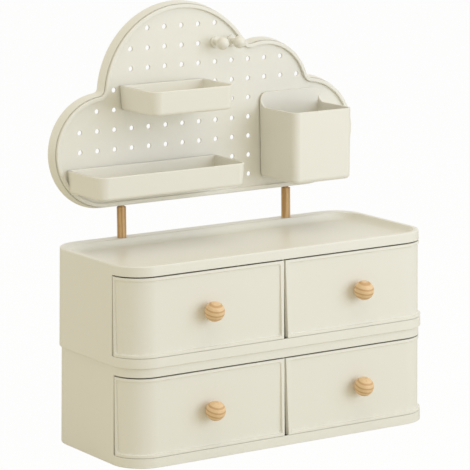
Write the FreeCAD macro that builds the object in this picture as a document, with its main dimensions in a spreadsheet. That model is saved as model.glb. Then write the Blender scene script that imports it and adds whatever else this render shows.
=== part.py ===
import FreeCAD, Part
import math
import os
import re

import Sketcher

# A desk organizer: two stacked drawer cabinets, a cloud-shaped pegboard on two wooden posts,
# and the trays, cup and hooks that hang on the board. Lengths are in millimetres.
# X runs to the right, Y to the back and Z up. The origin is under the middle of the whole
# object, on the desk.

SIZES = {
    # Cabinet shell, the same moulding for both tiers
    "case_width": 364.0,
    "case_depth": 162.0,
    "case_corner": 33.5,
    "case_height": 100.5,
    "crest_inset": 2.25,
    "shell_wall": 2.0,
    "tier_overlap": 1.0,
    "lip_width": 5.0,
    "back_lip_width": 16.0,
    "lip_round": 1.4,
    "recess_depth": 7.0,
    "recess_cove": 3.0,
    "recess_draft": 1.5,
    "tray_floor": 2.2,
    # Drawer bay
    "bay_bottom": 9.8,
    "bay_height": 79.8,
    "runner_gap": 0.3,
    "top_gap": 1.0,
    "centre_gap_top": 1.5,
    "centre_gap_bottom": 4.6,
    # Floor plate, feet, runners and partition
    "plate_thick": 2.2,
    "plate_gap": 0.15,
    "foot_diameter": 16.0,
    "foot_inset": 30.0,
    "runner_width": 4.0,
    "runner_length": 120.0,
    "runner_inset": 22.0,
    "partition_thick": 2.4,
    "partition_gap": 0.2,
    "partition_back": 4.5,
    # Drawers
    "field_inset": 3.0,
    "border_width": 3.2,
    "front_inner": 5.0,
    "front_lap": 0.6,
    "drawer_wall": 1.8,
    "drawer_floor": 1.8,
    "drawer_side": 3.0,
    "drawer_tube_gap": 4.2,
    "bin_height": 70.0,
    # Knobs and their screws
    "knob_diameter": 20.0,
    "knob_standoff": 11.0,
    "knob_neck": 8.0,
    "knob_across": 89.0,
    "knob_rise": 50.0,
    "screw_thread": 3.5,
    "screw_length": 16.0,
    "screw_head": 7.5,
    "screw_head_thick": 2.4,
    "screw_play": 0.3,
    # Posts and their tubes
    "post_diameter": 9.5,
    "post_across": 100.0,
    "post_back_inset": 11.8,
    "post_gap": 0.15,
    "post_clear_length": 31.7,
    "tube_diameter": 14.0,
    "tube_depth": 78.0,
    "tube_foot": 3.0,
    "tenon_diameter": 6.0,
    "tenon_length": 16.0,
    # Board
    "frame_depth": 12.0,
    "frame_draft": 2.3,
    "frame_wall": 5.0,
    "panel_inset": 2.5,
    "rim_width": 4.5,
    "rim_height": 3.0,
    "rim_round": 0.9,
    "plate_play": 0.2,
    "panel_thick": 2.0,
    "low_lobe_across": 122.0,
    "low_lobe_radius": 59.0,
    "big_lobe_offset": 31.0,
    "big_lobe_rise": 112.0,
    "big_lobe_radius": 93.0,
    "mid_lobe_offset": 69.5,
    "mid_lobe_rise": 103.5,
    "mid_lobe_radius": 57.5,
    "junction_round": 5.0,
    # Peg holes
    "hole_pitch": 20.0,
    "hole_diameter": 5.0,
    "hole_columns": 16,
    "hole_rows": 9,
    "hole_margin": 12.0,
    "bottom_row_rise": 20.3,
    "peg_play": 0.4,
    "peg_reach": 5.0,
    "peg_edge": 10.0,
    # Screws behind the board
    "lug_diameter": 12.0,
    "lug_edge": 9.5,
    "lug_depth": 6.0,
    "boss_diameter": 7.0,
    "panel_screw_thread": 3.0,
    "panel_screw_head": 6.0,
    "panel_screw_head_thick": 2.0,
    "panel_screw_sink": 2.5,
    "panel_screw_play": 0.3,
    # Trays and cup hung on the board
    "hanger_standoff": 1.2,
    "hanger_collar": 8.0,
    "hung_wall": 2.0,
    "hung_floor": 2.0,
    "small_tray_width": 99.0,
    "small_tray_centre": -54.5,
    "long_tray_width": 174.0,
    "long_tray_centre": -79.0,
    "tray_depth": 64.0,
    "tray_height": 23.0,
    "tray_corner": 12.0,
    "tray_draft": 2.0,
    "tray_foot_round": 3.5,
    "small_tray_above_peg": 2.4,
    "long_tray_above_peg": 3.5,
    "cup_width": 75.0,
    "cup_centre": 100.5,
    "cup_depth": 64.0,
    "cup_height": 89.0,
    "cup_corner": 9.0,
    "cup_draft": 1.2,
    "cup_foot_round": 4.5,
    "cup_above_peg": 4.3,
    "cup_front_drop": 15.0,
    "cup_scoop_round": 8.0,
    "cup_plate_round": 11.0,
    # Hooks
    "hook_flange": 12.0,
    "hook_flange_thick": 2.0,
    "hook_neck": 6.0,
    "hook_head": 13.0,
    "hook_reach": 15.0,
    # Shared by all cuts
    "overrun": 5.0,
}

doc = FreeCAD.newDocument("PegboardOrganizer")
sheet = doc.addObject("Spreadsheet::Sheet", "Sizes")
for row, (alias, number) in enumerate(SIZES.items(), start=1):
    sheet.set(f"A{row}", alias)
    sheet.set(f"B{row}", str(number))
    sheet.setAlias(f"B{row}", alias)
doc.recompute()

SAME_PLACE_SHARE = 1e-5
RIGHT, LEFT = 1, -1

# Formulas of named sizes that several sub-parts share. The shift sets the origin midway between
# the knobs' fronts and the cabinet's back.
SHIFT = "(knob_standoff + knob_diameter / 2 - field_inset) / 2"
TIER_PITCH = "(case_height - tier_overlap)"
CREST = f"({TIER_PITCH} + case_height)"
BOARD_BOTTOM = f"({CREST} + post_clear_length)"
RECESS_WIDTH = "(case_width - 2 * crest_inset - 2 * lip_width)"
RECESS_LENGTH = "(case_depth - 2 * crest_inset - lip_width - back_lip_width)"
RECESS_MIDDLE = "((lip_width - back_lip_width) / 2)"
RECESS_CORNER = "(case_corner - crest_inset - lip_width)"
CEILING = "(case_height - recess_depth - tray_floor)"
PLATE_TOP = "(tier_overlap + plate_thick)"
DRAWER_BOTTOM = "(bay_bottom + runner_gap)"
DRAWER_TOP = "(bay_bottom + bay_height - top_gap)"
CORNER_END = "(case_depth / 2 - case_corner)"
POST_PLACE = "(case_depth / 2 - post_back_inset)"
BOARD_FRONT = f"({POST_PLACE} - frame_depth / 2 - plate_play)"
DRAWER_BACK = f"({POST_PLACE} - tube_diameter / 2 - drawer_tube_gap)"


def linked(formula):
    """The formula with each named size turned into a reference to its cell."""
    def reference(word):
        return f"Sizes.{word[0]}" if word[0] in SIZES else word[0]

    return re.sub(r"[a-z_]+[a-z]", reference, formula)


def value(formula):
    """The number that a formula of named sizes gives."""
    result = sheet.evalExpression(linked(formula))
    return float(getattr(result, "Value", result))


def bind(thing, **formulas):
    """Bind properties of an object to formulas; a double underscore stands for a dot."""
    for name, formula in formulas.items():
        thing.setExpression(name.replace("__", "."), linked(formula))


# Bodies, sketches and their features

def new_body(label):
    """An empty body with its own label."""
    body = doc.addObject("PartDesign::Body", label)
    body.Label = label
    return body


def new_sketch(body, plane, across="0", along="0", lift="0"):
    """A sketch on one of the body's own planes, moved in it and lifted along its normal."""
    sketch = body.newObject("Sketcher::SketchObject", f"{body.Name}_outline")
    origin_plane = [item for item in body.Origin.OriginFeatures if item.Role == f"{plane}_Plane"][0]
    sketch.AttachmentSupport = [(origin_plane, "")]
    sketch.MapMode = "FlatFace"
    bind(sketch, AttachmentOffset__Base__x=across, AttachmentOffset__Base__y=along)
    bind(sketch, AttachmentOffset__Base__z=lift)
    return sketch


def constrain(sketch, kind, *targets, formula=None):
    """One constraint of a sketch, tied to a formula where it has a size."""
    if formula is None:
        sketch.addConstraint(Sketcher.Constraint(kind, *targets))
        return
    number = sketch.addConstraint(Sketcher.Constraint(kind, *targets, value(formula)))
    sketch.setExpression(f"Constraints[{number}]", linked(formula))


def draw_rounded(sketch, width, depth, corner):
    """A rectangle with rounded corners about the sketch's origin."""
    across, along, radius = value(width) / 2, value(depth) / 2, value(corner)
    inner_x, inner_y = across - radius, along - radius
    sides = [
        ((inner_x, along), (-inner_x, along), (-inner_x, inner_y), math.pi / 2),
        ((-across, inner_y), (-across, -inner_y), (-inner_x, -inner_y), math.pi),
        ((-inner_x, -along), (inner_x, -along), (inner_x, -inner_y), 3 * math.pi / 2),
        ((across, -inner_y), (across, inner_y), (inner_x, inner_y), 0.0),
    ]
    up = FreeCAD.Vector(0, 0, 1)
    for start, end, centre, angle in sides:
        sketch.addGeometry(Part.LineSegment(FreeCAD.Vector(*start, 0), FreeCAD.Vector(*end, 0)))
        circle = Part.Circle(FreeCAD.Vector(*centre, 0), up, radius)
        sketch.addGeometry(Part.ArcOfCircle(circle, angle, angle + math.pi / 2))
    for number in range(8):
        constrain(sketch, "Tangent", number, 2, (number + 1) % 8, 1)
    for number, kind in ((0, "Horizontal"), (2, "Vertical"), (4, "Horizontal"), (6, "Vertical")):
        constrain(sketch, kind, number)
    for number in (3, 5, 7):
        constrain(sketch, "Equal", 1, number)
    constrain(sketch, "Symmetric", 1, 3, 5, 3, -1, 1)
    constrain(sketch, "Radius", 1, formula=corner)
    constrain(sketch, "DistanceX", 2, 1, 6, 1, formula=width)
    constrain(sketch, "DistanceY", 4, 1, 0, 1, formula=depth)


def draw_rectangle(sketch, width, depth):
    """A plain rectangle about the sketch's origin."""
    across, along = value(width) / 2, value(depth) / 2
    corners = [(-across, -along), (across, -along), (across, along), (-across, along)]
    points = [FreeCAD.Vector(x, y, 0) for x, y in corners]
    base = sketch.GeometryCount
    for number in range(4):
        sketch.addGeometry(Part.LineSegment(points[number], points[(number + 1) % 4]))
    for number in range(4):
        constrain(sketch, "Coincident", base + number, 2, base + (number + 1) % 4, 1)
    for number, kind in enumerate(("Horizontal", "Vertical", "Horizontal", "Vertical")):
        constrain(sketch, kind, base + number)
    constrain(sketch, "Symmetric", base, 1, base + 2, 1, -1, 1)
    constrain(sketch, "DistanceX", base, 1, base, 2, formula=width)
    constrain(sketch, "DistanceY", base + 1, 1, base + 1, 2, formula=depth)


def draw_circle(sketch, diameter):
    """A circle about the sketch's origin."""
    circle = Part.Circle(FreeCAD.Vector(0, 0, 0), FreeCAD.Vector(0, 0, 1), value(diameter) / 2)
    sketch.addGeometry(circle)
    constrain(sketch, "Coincident", 0, 3, -1, 1)
    constrain(sketch, "Diameter", 0, formula=diameter)


def pad(body, sketch, length, taper=None, turned=False):
    """Raise a sketch into the body along its normal, or against it when turned."""
    feature = body.newObject("PartDesign::Pad", f"{body.Name}_pad")
    feature.Profile = sketch
    feature.Reversed = turned
    bind(feature, Length=length)
    if taper is not None:
        bind(feature, TaperAngle=taper)
    doc.recompute()
    return feature


def pocket(body, sketch, length, taper=None, turned=False):
    """Cut a sketch into the body against its normal, or along it when turned, and see that it cuts."""
    before = body.Shape.Volume
    feature = body.newObject("PartDesign::Pocket", f"{body.Name}_pocket")
    feature.Profile = sketch
    feature.Reversed = turned
    bind(feature, Length=length)
    if taper is not None:
        bind(feature, TaperAngle=taper)
    doc.recompute()
    if body.Shape.Volume >= before * (1 - SAME_PLACE_SHARE * SAME_PLACE_SHARE):
        raise RuntimeError(f"{feature.Name} cuts nothing")
    return feature


def loft(body, profile, section):
    """A ruled block between two sketches."""
    feature = body.newObject("PartDesign::AdditiveLoft", f"{body.Name}_loft")
    feature.Profile = profile
    feature.Sections = [section]
    feature.Ruled = True
    doc.recompute()
    return feature


def hollow_loft(body, profile, section):
    """A ruled hollow between two sketches."""
    feature = body.newObject("PartDesign::SubtractiveLoft", f"{body.Name}_hollow")
    feature.Profile = profile
    feature.Sections = [section]
    feature.Ruled = True
    doc.recompute()
    return feature


def round_edges(body, radius, chosen):
    """Round the edges of the body's last feature that the test picks by their box."""
    feature = body.Tip
    edges = enumerate(feature.Shape.Edges, start=1)
    names = [f"Edge{number}" for number, edge in edges if chosen(edge.BoundBox)]
    if not names:
        raise RuntimeError(f"no edge to round on {body.Label}")
    rounding = body.newObject("PartDesign::Fillet", f"{body.Name}_round")
    rounding.Base = (feature, names)
    bind(rounding, Radius=radius)
    doc.recompute()
    return rounding


def level_edges(formula):
    """A test for edges that lie wholly at one height."""
    height = value(formula)
    near = value("case_width") * SAME_PLACE_SHARE
    return lambda box: abs(box.ZMin - height) < near and abs(box.ZMax - height) < near


def put(thing, across="0", along="0", up="0"):
    """Place a finished sub-part in the whole object."""
    bind(thing, Placement__Base__x=across, Placement__Base__y=f"{along} + {SHIFT}", Placement__Base__z=up)
    return thing


# Cabinet shell

def make_case(label, level):
    """One tier's shell: drafted walls, tray top with its lip, drawer window and post tubes."""
    body = new_body(label)
    outline = new_sketch(body, "XY")
    draw_rounded(outline, "case_width", "case_depth", "case_corner")
    crest = new_sketch(body, "XY", lift="case_height")
    draw_rounded(crest, "case_width - 2 * crest_inset", "case_depth - 2 * crest_inset",
                 "case_corner - crest_inset")
    loft(body, outline, crest)

    mouth = new_sketch(body, "XY", along=RECESS_MIDDLE, lift="case_height")
    draw_rounded(mouth, RECESS_WIDTH, RECESS_LENGTH, RECESS_CORNER)
    floor = new_sketch(body, "XY", along=RECESS_MIDDLE, lift="case_height - recess_depth")
    draw_rounded(floor, f"{RECESS_WIDTH} - 2 * recess_draft", f"{RECESS_LENGTH} - 2 * recess_draft",
                 f"{RECESS_CORNER} - recess_draft")
    hollow_loft(body, mouth, floor)
    round_edges(body, "recess_cove", level_edges("case_height - recess_depth"))
    round_edges(body, "lip_round", level_edges("case_height"))

    inner = new_sketch(body, "XY")
    draw_rounded(inner, "case_width - 2 * shell_wall", "case_depth - 2 * shell_wall",
                 "case_corner - shell_wall")
    top = new_sketch(body, "XY", lift=CEILING)
    lean = f"(shell_wall + crest_inset * {CEILING} / case_height)"
    draw_rounded(top, f"case_width - 2 * {lean}", f"case_depth - 2 * {lean}", f"case_corner - {lean}")
    hollow_loft(body, inner, top)

    for side in (LEFT, RIGHT):
        tube = new_sketch(body, "XY", across=f"{side} * post_across", along=POST_PLACE,
                          lift="case_height - tube_depth - tube_foot")
        draw_circle(tube, "tube_diameter")
        pad(body, tube, "tube_depth + tube_foot")
    for side in (LEFT, RIGHT):
        bore = new_sketch(body, "XY", across=f"{side} * post_across", along=POST_PLACE, lift="case_height")
        draw_circle(bore, "post_diameter + 2 * post_gap")
        pocket(body, bore, "tube_depth")

    window = new_sketch(body, "XY", along=f"-({CORNER_END} + case_depth / 2)", lift="bay_bottom")
    draw_rectangle(window, "case_width + 2 * overrun", "case_depth")
    pocket(body, window, "bay_height", turned=True)
    return put(body, up=level)


def make_base_plate(label, level):
    """The floor of a tier: a plate inside the skirt, four feet below it and four runners on it."""
    body = new_body(label)
    edge = "(shell_wall + crest_inset * tier_overlap / case_height + plate_gap)"
    outline = new_sketch(body, "XY", lift="tier_overlap")
    draw_rounded(outline, f"case_width - 2 * {edge}", f"case_depth - 2 * {edge}", f"case_corner - {edge}")
    pad(body, outline, "plate_thick")
    for side in (LEFT, RIGHT):
        for end in (LEFT, RIGHT):
            foot = new_sketch(body, "XY", across=f"{side} * (case_width / 2 - foot_inset)",
                              along=f"{end} * (case_depth / 2 - foot_inset)", lift="tier_overlap")
            draw_circle(foot, "foot_diameter")
            pad(body, foot, "tier_overlap", turned=True)
    for side in (LEFT, RIGHT):
        for place in ("runner_inset", "(case_width / 2 - runner_inset)"):
            runner = new_sketch(body, "XY", across=f"{side} * {place}", lift=PLATE_TOP)
            draw_rectangle(runner, "runner_width", "runner_length")
            pad(body, runner, f"bay_bottom - {PLATE_TOP}")
    return put(body, up=level)


def make_partition(label, level):
    """The wall between a tier's two drawers."""
    body = new_body(label)
    front = "(case_depth / 2 - front_inner - front_lap)"
    back = "(case_depth / 2 - partition_back)"
    outline = new_sketch(body, "XY", along=f"({back} - {front}) / 2", lift=PLATE_TOP)
    draw_rectangle(outline, "partition_thick", f"{back} + {front}")
    pad(body, outline, f"{CEILING} - {PLATE_TOP} - partition_gap")
    return put(body, up=level)


# Drawers

def tapered_prism(name, bottom_inset, top_inset):
    """A closed block in the case's outline, as high as the case, with its own inset at each end."""
    sketches = []
    for part, inset, lift in (("foot", bottom_inset, "0"), ("head", top_inset, "case_height")):
        sketch = doc.addObject("Sketcher::SketchObject", f"{name}_{part}")
        bind(sketch, Placement__Base__z=lift)
        draw_rounded(sketch, f"case_width - 2 * ({inset})", f"case_depth - 2 * ({inset})",
                     f"case_corner - ({inset})")
        sketches.append(sketch)
    block = doc.addObject("Part::Loft", name)
    block.Sections = sketches
    block.Solid = True
    block.Ruled = True
    return block


def side_box(name, side, near, far, front, back, bottom, top):
    """A box between two distances from the middle on one side."""
    box = doc.addObject("Part::Box", name)
    start = near if side == RIGHT else f"-({far})"
    bind(box, Length=f"({far}) - ({near})", Width=f"({back}) - ({front})", Height=f"({top}) - ({bottom})",
         Placement__Base__x=start, Placement__Base__y=front, Placement__Base__z=bottom)
    return box


def combined(kind, name, base, tool):
    """A boolean of two shapes."""
    result = doc.addObject(f"Part::{kind}", name)
    result.Base = base
    result.Tool = tool
    return result


def make_drawer(label, side, level):
    """A drawer: bin, and a front that wraps the outer corner with a raised border round its field."""
    far = "(case_width / 2 + overrun)"
    ahead = "-(case_depth / 2 + overrun)"
    end = f"-{CORNER_END}"
    border = "border_width"

    shell = tapered_prism(f"{label}_shell", "0", "crest_inset")
    front_box = side_box(f"{label}_front_box", side, "centre_gap_top / 2", far, ahead, f"{end} - runner_gap",
                         DRAWER_BOTTOM, DRAWER_TOP)
    front = combined("Common", f"{label}_front", shell, front_box)
    back_face = tapered_prism(f"{label}_back_face", "front_inner + front_lap", "front_inner + front_lap")
    front_shell = combined("Cut", f"{label}_front_shell", front, back_face)

    bin_prism = tapered_prism(f"{label}_bin_prism", "front_inner", "front_inner")
    bin_box = side_box(f"{label}_bin_box", side, "drawer_side", far, ahead, DRAWER_BACK, DRAWER_BOTTOM,
                       f"{DRAWER_BOTTOM} + bin_height")
    bin_block = combined("Common", f"{label}_bin", bin_prism, bin_box)
    whole = combined("Fuse", f"{label}_whole", front_shell, bin_block)

    wall_inside = "front_inner + drawer_wall"
    room_prism = tapered_prism(f"{label}_room_prism", wall_inside, wall_inside)
    room_box = side_box(f"{label}_room_box", side, "drawer_side + drawer_wall", far, ahead,
                        f"{DRAWER_BACK} - drawer_wall", f"{DRAWER_BOTTOM} + drawer_floor",
                        "case_height + overrun")
    room = combined("Common", f"{label}_room", room_prism, room_box)
    hollow = combined("Cut", f"{label}_hollow", whole, room)

    field_box = side_box(f"{label}_field_box", side, f"centre_gap_bottom / 2 + {border}", far, ahead,
                         f"{end} - {border}", f"{DRAWER_BOTTOM} + {border}", f"{DRAWER_TOP} - {border}")
    field_prism = tapered_prism(f"{label}_field_prism", "field_inset", "field_inset")
    field = combined("Cut", f"{label}_field", field_box, field_prism)
    faced = combined("Cut", f"{label}_faced", hollow, field)

    # The inner end leans away from the middle towards the bottom
    lean = doc.addObject("Part::Wedge", f"{label}_lean")
    span = f"({DRAWER_TOP} - {DRAWER_BOTTOM})"
    reach = "case_depth / 2 + overrun"
    bind(lean, Xmin="0", Xmax="centre_gap_bottom / 2", X2min="0", X2max="centre_gap_top / 2")
    bind(lean, Ymin="0", Ymax=span, Zmin="0", Zmax=reach, Z2min="0", Z2max=reach)
    lean.Placement = FreeCAD.Placement(FreeCAD.Vector(0, 0, 0), FreeCAD.Rotation(FreeCAD.Vector(1, 0, 0), 90))
    bind(lean, Placement__Base__z=DRAWER_BOTTOM)
    if side == LEFT:
        turned = doc.addObject("Part::Mirroring", f"{label}_lean_left")
        turned.Source = lean
        turned.Normal = FreeCAD.Vector(1, 0, 0)
        lean = turned
    leaned = combined("Cut", f"{label}_leaned", faced, lean)

    hole = doc.addObject("Part::Cylinder", f"{label}_screw_hole")
    hole.Placement = FreeCAD.Placement(FreeCAD.Vector(0, 0, 0), FreeCAD.Rotation(FreeCAD.Vector(1, 0, 0), 90))
    bind(hole, Radius="screw_thread / 2 + screw_play", Height="case_depth / 2",
         Placement__Base__x=f"{side} * knob_across", Placement__Base__y="-(case_depth / 4)",
         Placement__Base__z="knob_rise")
    drawer = combined("Cut", label, leaned, hole)
    drawer.Label = label
    return put(drawer, up=level)


def forward_cylinder(name, diameter, length):
    """A cylinder along Y that starts at Y 0 and runs forwards."""
    cylinder = doc.addObject("Part::Cylinder", name)
    quarter_turn = FreeCAD.Rotation(FreeCAD.Vector(1, 0, 0), 90)
    cylinder.Placement = FreeCAD.Placement(FreeCAD.Vector(0, 0, 0), quarter_turn)
    bind(cylinder, Radius=f"({diameter}) / 2", Height=length)
    return cylinder


def make_knob(label, side, level):
    """A turned ball on a short neck, bored for its screw."""
    ball = doc.addObject("Part::Sphere", f"{label}_ball")
    bind(ball, Radius="knob_diameter / 2", Placement__Base__y="-knob_standoff")
    neck = forward_cylinder(f"{label}_neck", "knob_neck", "knob_standoff")
    solid = combined("Fuse", f"{label}_solid", ball, neck)
    bore = forward_cylinder(f"{label}_bore", "screw_thread",
                            "screw_length - front_inner - drawer_wall + field_inset")
    knob = combined("Cut", label, solid, bore)
    knob.Label = label
    return put(knob, f"{side} * knob_across", "-(case_depth / 2 - field_inset)", f"{level} + knob_rise")


def make_knob_screw(label, side, level):
    """The screw from inside the drawer: a pan head and a shank."""
    head = forward_cylinder(f"{label}_head", "screw_head", "screw_head_thick")
    shank = forward_cylinder(f"{label}_shank", "screw_thread", "screw_head_thick + screw_length")
    screw = combined("Fuse", label, head, shank)
    screw.Label = label
    seat = "-(case_depth / 2 - front_inner - drawer_wall) + screw_head_thick"
    return put(screw, f"{side} * knob_across", seat, f"{level} + knob_rise")


# Posts

def make_post(label, side):
    """A round post from the foot of its tube to the frame, with a tenon at its top."""
    body = new_body(label)
    foot = new_sketch(body, "XY", lift="-tube_depth")
    draw_circle(foot, "post_diameter")
    pad(body, foot, "tube_depth + post_clear_length")
    shoulder = new_sketch(body, "XY", lift="post_clear_length")
    draw_circle(shoulder, "tenon_diameter")
    pad(body, shoulder, "tenon_length")
    return put(body, f"{side} * post_across", POST_PLACE, CREST)


# Board

LOBES = (
    ("-low_lobe_across", "low_lobe_radius", "low_lobe_radius"),
    ("low_lobe_across", "low_lobe_radius", "low_lobe_radius"),
    ("mid_lobe_offset", "mid_lobe_rise", "mid_lobe_radius"),
    ("-big_lobe_offset", "big_lobe_rise", "big_lobe_radius"),
)


def lobe_places(inset):
    """Centre and radius of each lobe, left low, right low, mid and big, drawn in by an inset."""
    return [(value(x), value(z), value(f"{radius} - ({inset})")) for x, z, radius in LOBES]


def valley_centres(first, second, radius):
    """Centres of the two circles that touch two lobes from outside."""
    (x1, z1, r1), (x2, z2, r2) = first, second
    reach1, reach2 = r1 + radius, r2 + radius
    span = math.hypot(x2 - x1, z2 - z1)
    along = (reach1 ** 2 - reach2 ** 2 + span ** 2) / (2 * span)
    rise = math.sqrt(reach1 ** 2 - along ** 2)
    unit_x, unit_z = (x2 - x1) / span, (z2 - z1) / span
    return [(x1 + unit_x * along - turn * unit_z * rise, z1 + unit_z * along + turn * unit_x * rise)
            for turn in (1, -1)]


def draw_cloud(sketch, inset):
    """The cloud's outline: a straight foot, four lobes and three small rounds in the valleys."""
    left, right, mid, big = lobe_places(inset)
    valley = value(f"junction_round + ({inset})")
    right_valley = max(valley_centres(right, mid, valley), key=lambda place: place[0])
    top_valley = max(valley_centres(mid, big, valley), key=lambda place: place[1])
    left_valley = min(valley_centres(big, left, valley), key=lambda place: place[0])
    up = FreeCAD.Vector(0, 0, 1)

    def arc(centre, radius, start, end):
        first = math.atan2(start[1] - centre[1], start[0] - centre[0])
        last = math.atan2(end[1] - centre[1], end[0] - centre[0])
        if last < first:
            last += 2 * math.pi
        circle = Part.Circle(FreeCAD.Vector(centre[0], centre[1], 0), up, radius)
        sketch.addGeometry(Part.ArcOfCircle(circle, first, last))

    def touch(lobe, valley_place):
        share = lobe[2] / math.hypot(valley_place[0] - lobe[0], valley_place[1] - lobe[1])
        return (lobe[0] + share * (valley_place[0] - lobe[0]), lobe[1] + share * (valley_place[1] - lobe[1]))

    foot_left = (left[0], left[1] - left[2])
    foot_right = (right[0], right[1] - right[2])
    sketch.addGeometry(Part.LineSegment(FreeCAD.Vector(*foot_left, 0), FreeCAD.Vector(*foot_right, 0)))
    arc(right, right[2], foot_right, touch(right, right_valley))
    arc(right_valley, valley, touch(mid, right_valley), touch(right, right_valley))
    arc(mid, mid[2], touch(mid, right_valley), touch(mid, top_valley))
    arc(top_valley, valley, touch(big, top_valley), touch(mid, top_valley))
    arc(big, big[2], touch(big, top_valley), touch(big, left_valley))
    arc(left_valley, valley, touch(left, left_valley), touch(big, left_valley))
    arc(left, left[2], touch(left, left_valley), foot_left)

    # Lobes run with the outline and valleys against it, so their ends meet in turn
    for meeting in ((0, 2, 1, 1), (1, 2, 2, 2), (2, 1, 3, 1), (3, 2, 4, 2), (4, 1, 5, 1), (5, 2, 6, 2),
                    (6, 1, 7, 1), (7, 2, 0, 1)):
        constrain(sketch, "Tangent", *meeting)
    for arc_number, radius in ((1, "low_lobe_radius"), (3, "mid_lobe_radius"), (5, "big_lobe_radius"),
                               (7, "low_lobe_radius")):
        constrain(sketch, "Radius", arc_number, formula=f"{radius} - ({inset})")
    for arc_number in (2, 4, 6):
        constrain(sketch, "Radius", arc_number, formula=f"junction_round + ({inset})")
    for arc_number, offset in ((1, "low_lobe_across"), (3, "mid_lobe_offset")):
        constrain(sketch, "DistanceX", -1, 1, arc_number, 3, formula=offset)
    for arc_number, offset in ((5, "big_lobe_offset"), (7, "low_lobe_across")):
        constrain(sketch, "DistanceX", arc_number, 3, -1, 1, formula=offset)
    for arc_number, rise in ((1, "low_lobe_radius"), (3, "mid_lobe_rise"), (5, "big_lobe_rise"),
                             (7, "low_lobe_radius")):
        constrain(sketch, "DistanceY", -1, 1, arc_number, 3, formula=rise)


def lug_places():
    """Formulas for the place of each screw behind the board, near the edge of a lobe."""
    low_side = "(low_lobe_across + low_lobe_radius - lug_edge)"
    return [
        (f"-{low_side}", "low_lobe_radius"),
        (low_side, "low_lobe_radius"),
        ("0", "lug_edge"),
        ("-big_lobe_offset", "big_lobe_rise + big_lobe_radius - lug_edge"),
        ("mid_lobe_offset - hole_pitch / 2", "mid_lobe_rise + mid_lobe_radius - lug_edge"),
    ]


def make_cloud_frame():
    """The back frame: a drafted ring in the cloud's outline with screw lugs and post sockets."""
    body = new_body("cloud_frame")
    back = new_sketch(body, "XZ", lift="-frame_depth")
    draw_cloud(back, "0")
    front = new_sketch(body, "XZ")
    draw_cloud(front, "frame_draft")
    loft(body, back, front)
    inner = new_sketch(body, "XZ")
    draw_cloud(inner, "frame_wall")
    pocket(body, inner, "frame_depth + overrun")

    for across, rise in lug_places():
        lug = new_sketch(body, "XZ", across=across, along=rise, lift="-lug_depth")
        draw_circle(lug, "lug_diameter")
        pad(body, lug, "frame_depth - lug_depth", turned=True)
    for across, rise in lug_places():
        hole = new_sketch(body, "XZ", across=across, along=rise, lift="-lug_depth")
        draw_circle(hole, "panel_screw_thread + 2 * panel_screw_play")
        pocket(body, hole, "frame_depth")
        sink = new_sketch(body, "XZ", across=across, along=rise, lift="-(frame_depth - panel_screw_sink)")
        draw_circle(sink, "panel_screw_head + 2 * panel_screw_play")
        pocket(body, sink, "frame_depth")

    for side in (LEFT, RIGHT):
        block = new_sketch(body, "XZ", across=f"{side} * post_across",
                           along="(frame_wall + tenon_length + shell_wall) / 2",
                           lift="-(panel_thick + plate_play)")
        draw_rectangle(block, "2 * tenon_diameter", "tenon_length + shell_wall - frame_wall + overrun")
        pad(body, block, "frame_depth - panel_thick - plate_play", turned=True)
    for side in (LEFT, RIGHT):
        socket = new_sketch(body, "XY", across=f"{side} * post_across", along="frame_depth / 2 + plate_play")
        draw_circle(socket, "tenon_diameter + 2 * post_gap")
        pocket(body, socket, "tenon_length + post_gap", turned=True)
    return put(body, along=BOARD_FRONT, up=BOARD_BOTTOM)


def hole_places():
    """Peg hole centres on the square grid that lie well inside the outline."""
    pitch = value("hole_pitch")
    margin = value("hole_margin")
    columns, rows = round(value("hole_columns")), round(value("hole_rows"))
    lobes = lobe_places("0")
    places = []
    for row in range(rows):
        for column in range(columns):
            x = (column - (columns - 1) / 2) * pitch
            z = value("bottom_row_rise") + row * pitch
            inside = [radius - math.hypot(x - centre_x, z - centre_z) for centre_x, centre_z, radius in lobes]
            between = min(value("low_lobe_across") - abs(x), z, value("low_lobe_radius") - z + pitch)
            if max(inside) >= margin or between >= margin:
                places.append((x, z))
    return places


def make_panel():
    """The front moulding: a plate of peg holes inside a raised rim, with screw bosses behind."""
    body = new_body("pegboard_panel")
    flange = new_sketch(body, "XZ")
    draw_cloud(flange, "panel_inset")
    pad(body, flange, "rim_height")
    plate = new_sketch(body, "XZ")
    draw_cloud(plate, "frame_wall + plate_play")
    pad(body, plate, "panel_thick", turned=True)
    field = new_sketch(body, "XZ", lift="rim_height")
    draw_cloud(field, "panel_inset + rim_width")
    pocket(body, field, "rim_height")
    near = value("case_width") * SAME_PLACE_SHARE
    rim_front = -value("rim_height")

    def on_the_rim(box):
        return abs(box.YMin - rim_front) < near and abs(box.YMax - rim_front) < near

    round_edges(body, "rim_round", on_the_rim)

    for across, rise in lug_places():
        boss = new_sketch(body, "XZ", across=across, along=rise, lift="-panel_thick")
        draw_circle(boss, "boss_diameter")
        pad(body, boss, "lug_depth - panel_thick", turned=True)
    for across, rise in lug_places():
        pilot = new_sketch(body, "XZ", across=across, along=rise, lift="-lug_depth")
        draw_circle(pilot, "panel_screw_thread")
        pocket(body, pilot, "lug_depth - panel_thick / 2", turned=True)

    holes = new_sketch(body, "XZ")
    up = FreeCAD.Vector(0, 0, 1)
    for number, (x, z) in enumerate(hole_places()):
        holes.addGeometry(Part.Circle(FreeCAD.Vector(x, z, 0), up, value("hole_diameter") / 2))
        if number:
            constrain(holes, "Equal", 0, number)
    constrain(holes, "Diameter", 0, formula="hole_diameter")
    pocket(body, holes, "panel_thick + overrun")
    return put(body, along=BOARD_FRONT, up=BOARD_BOTTOM)


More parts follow.
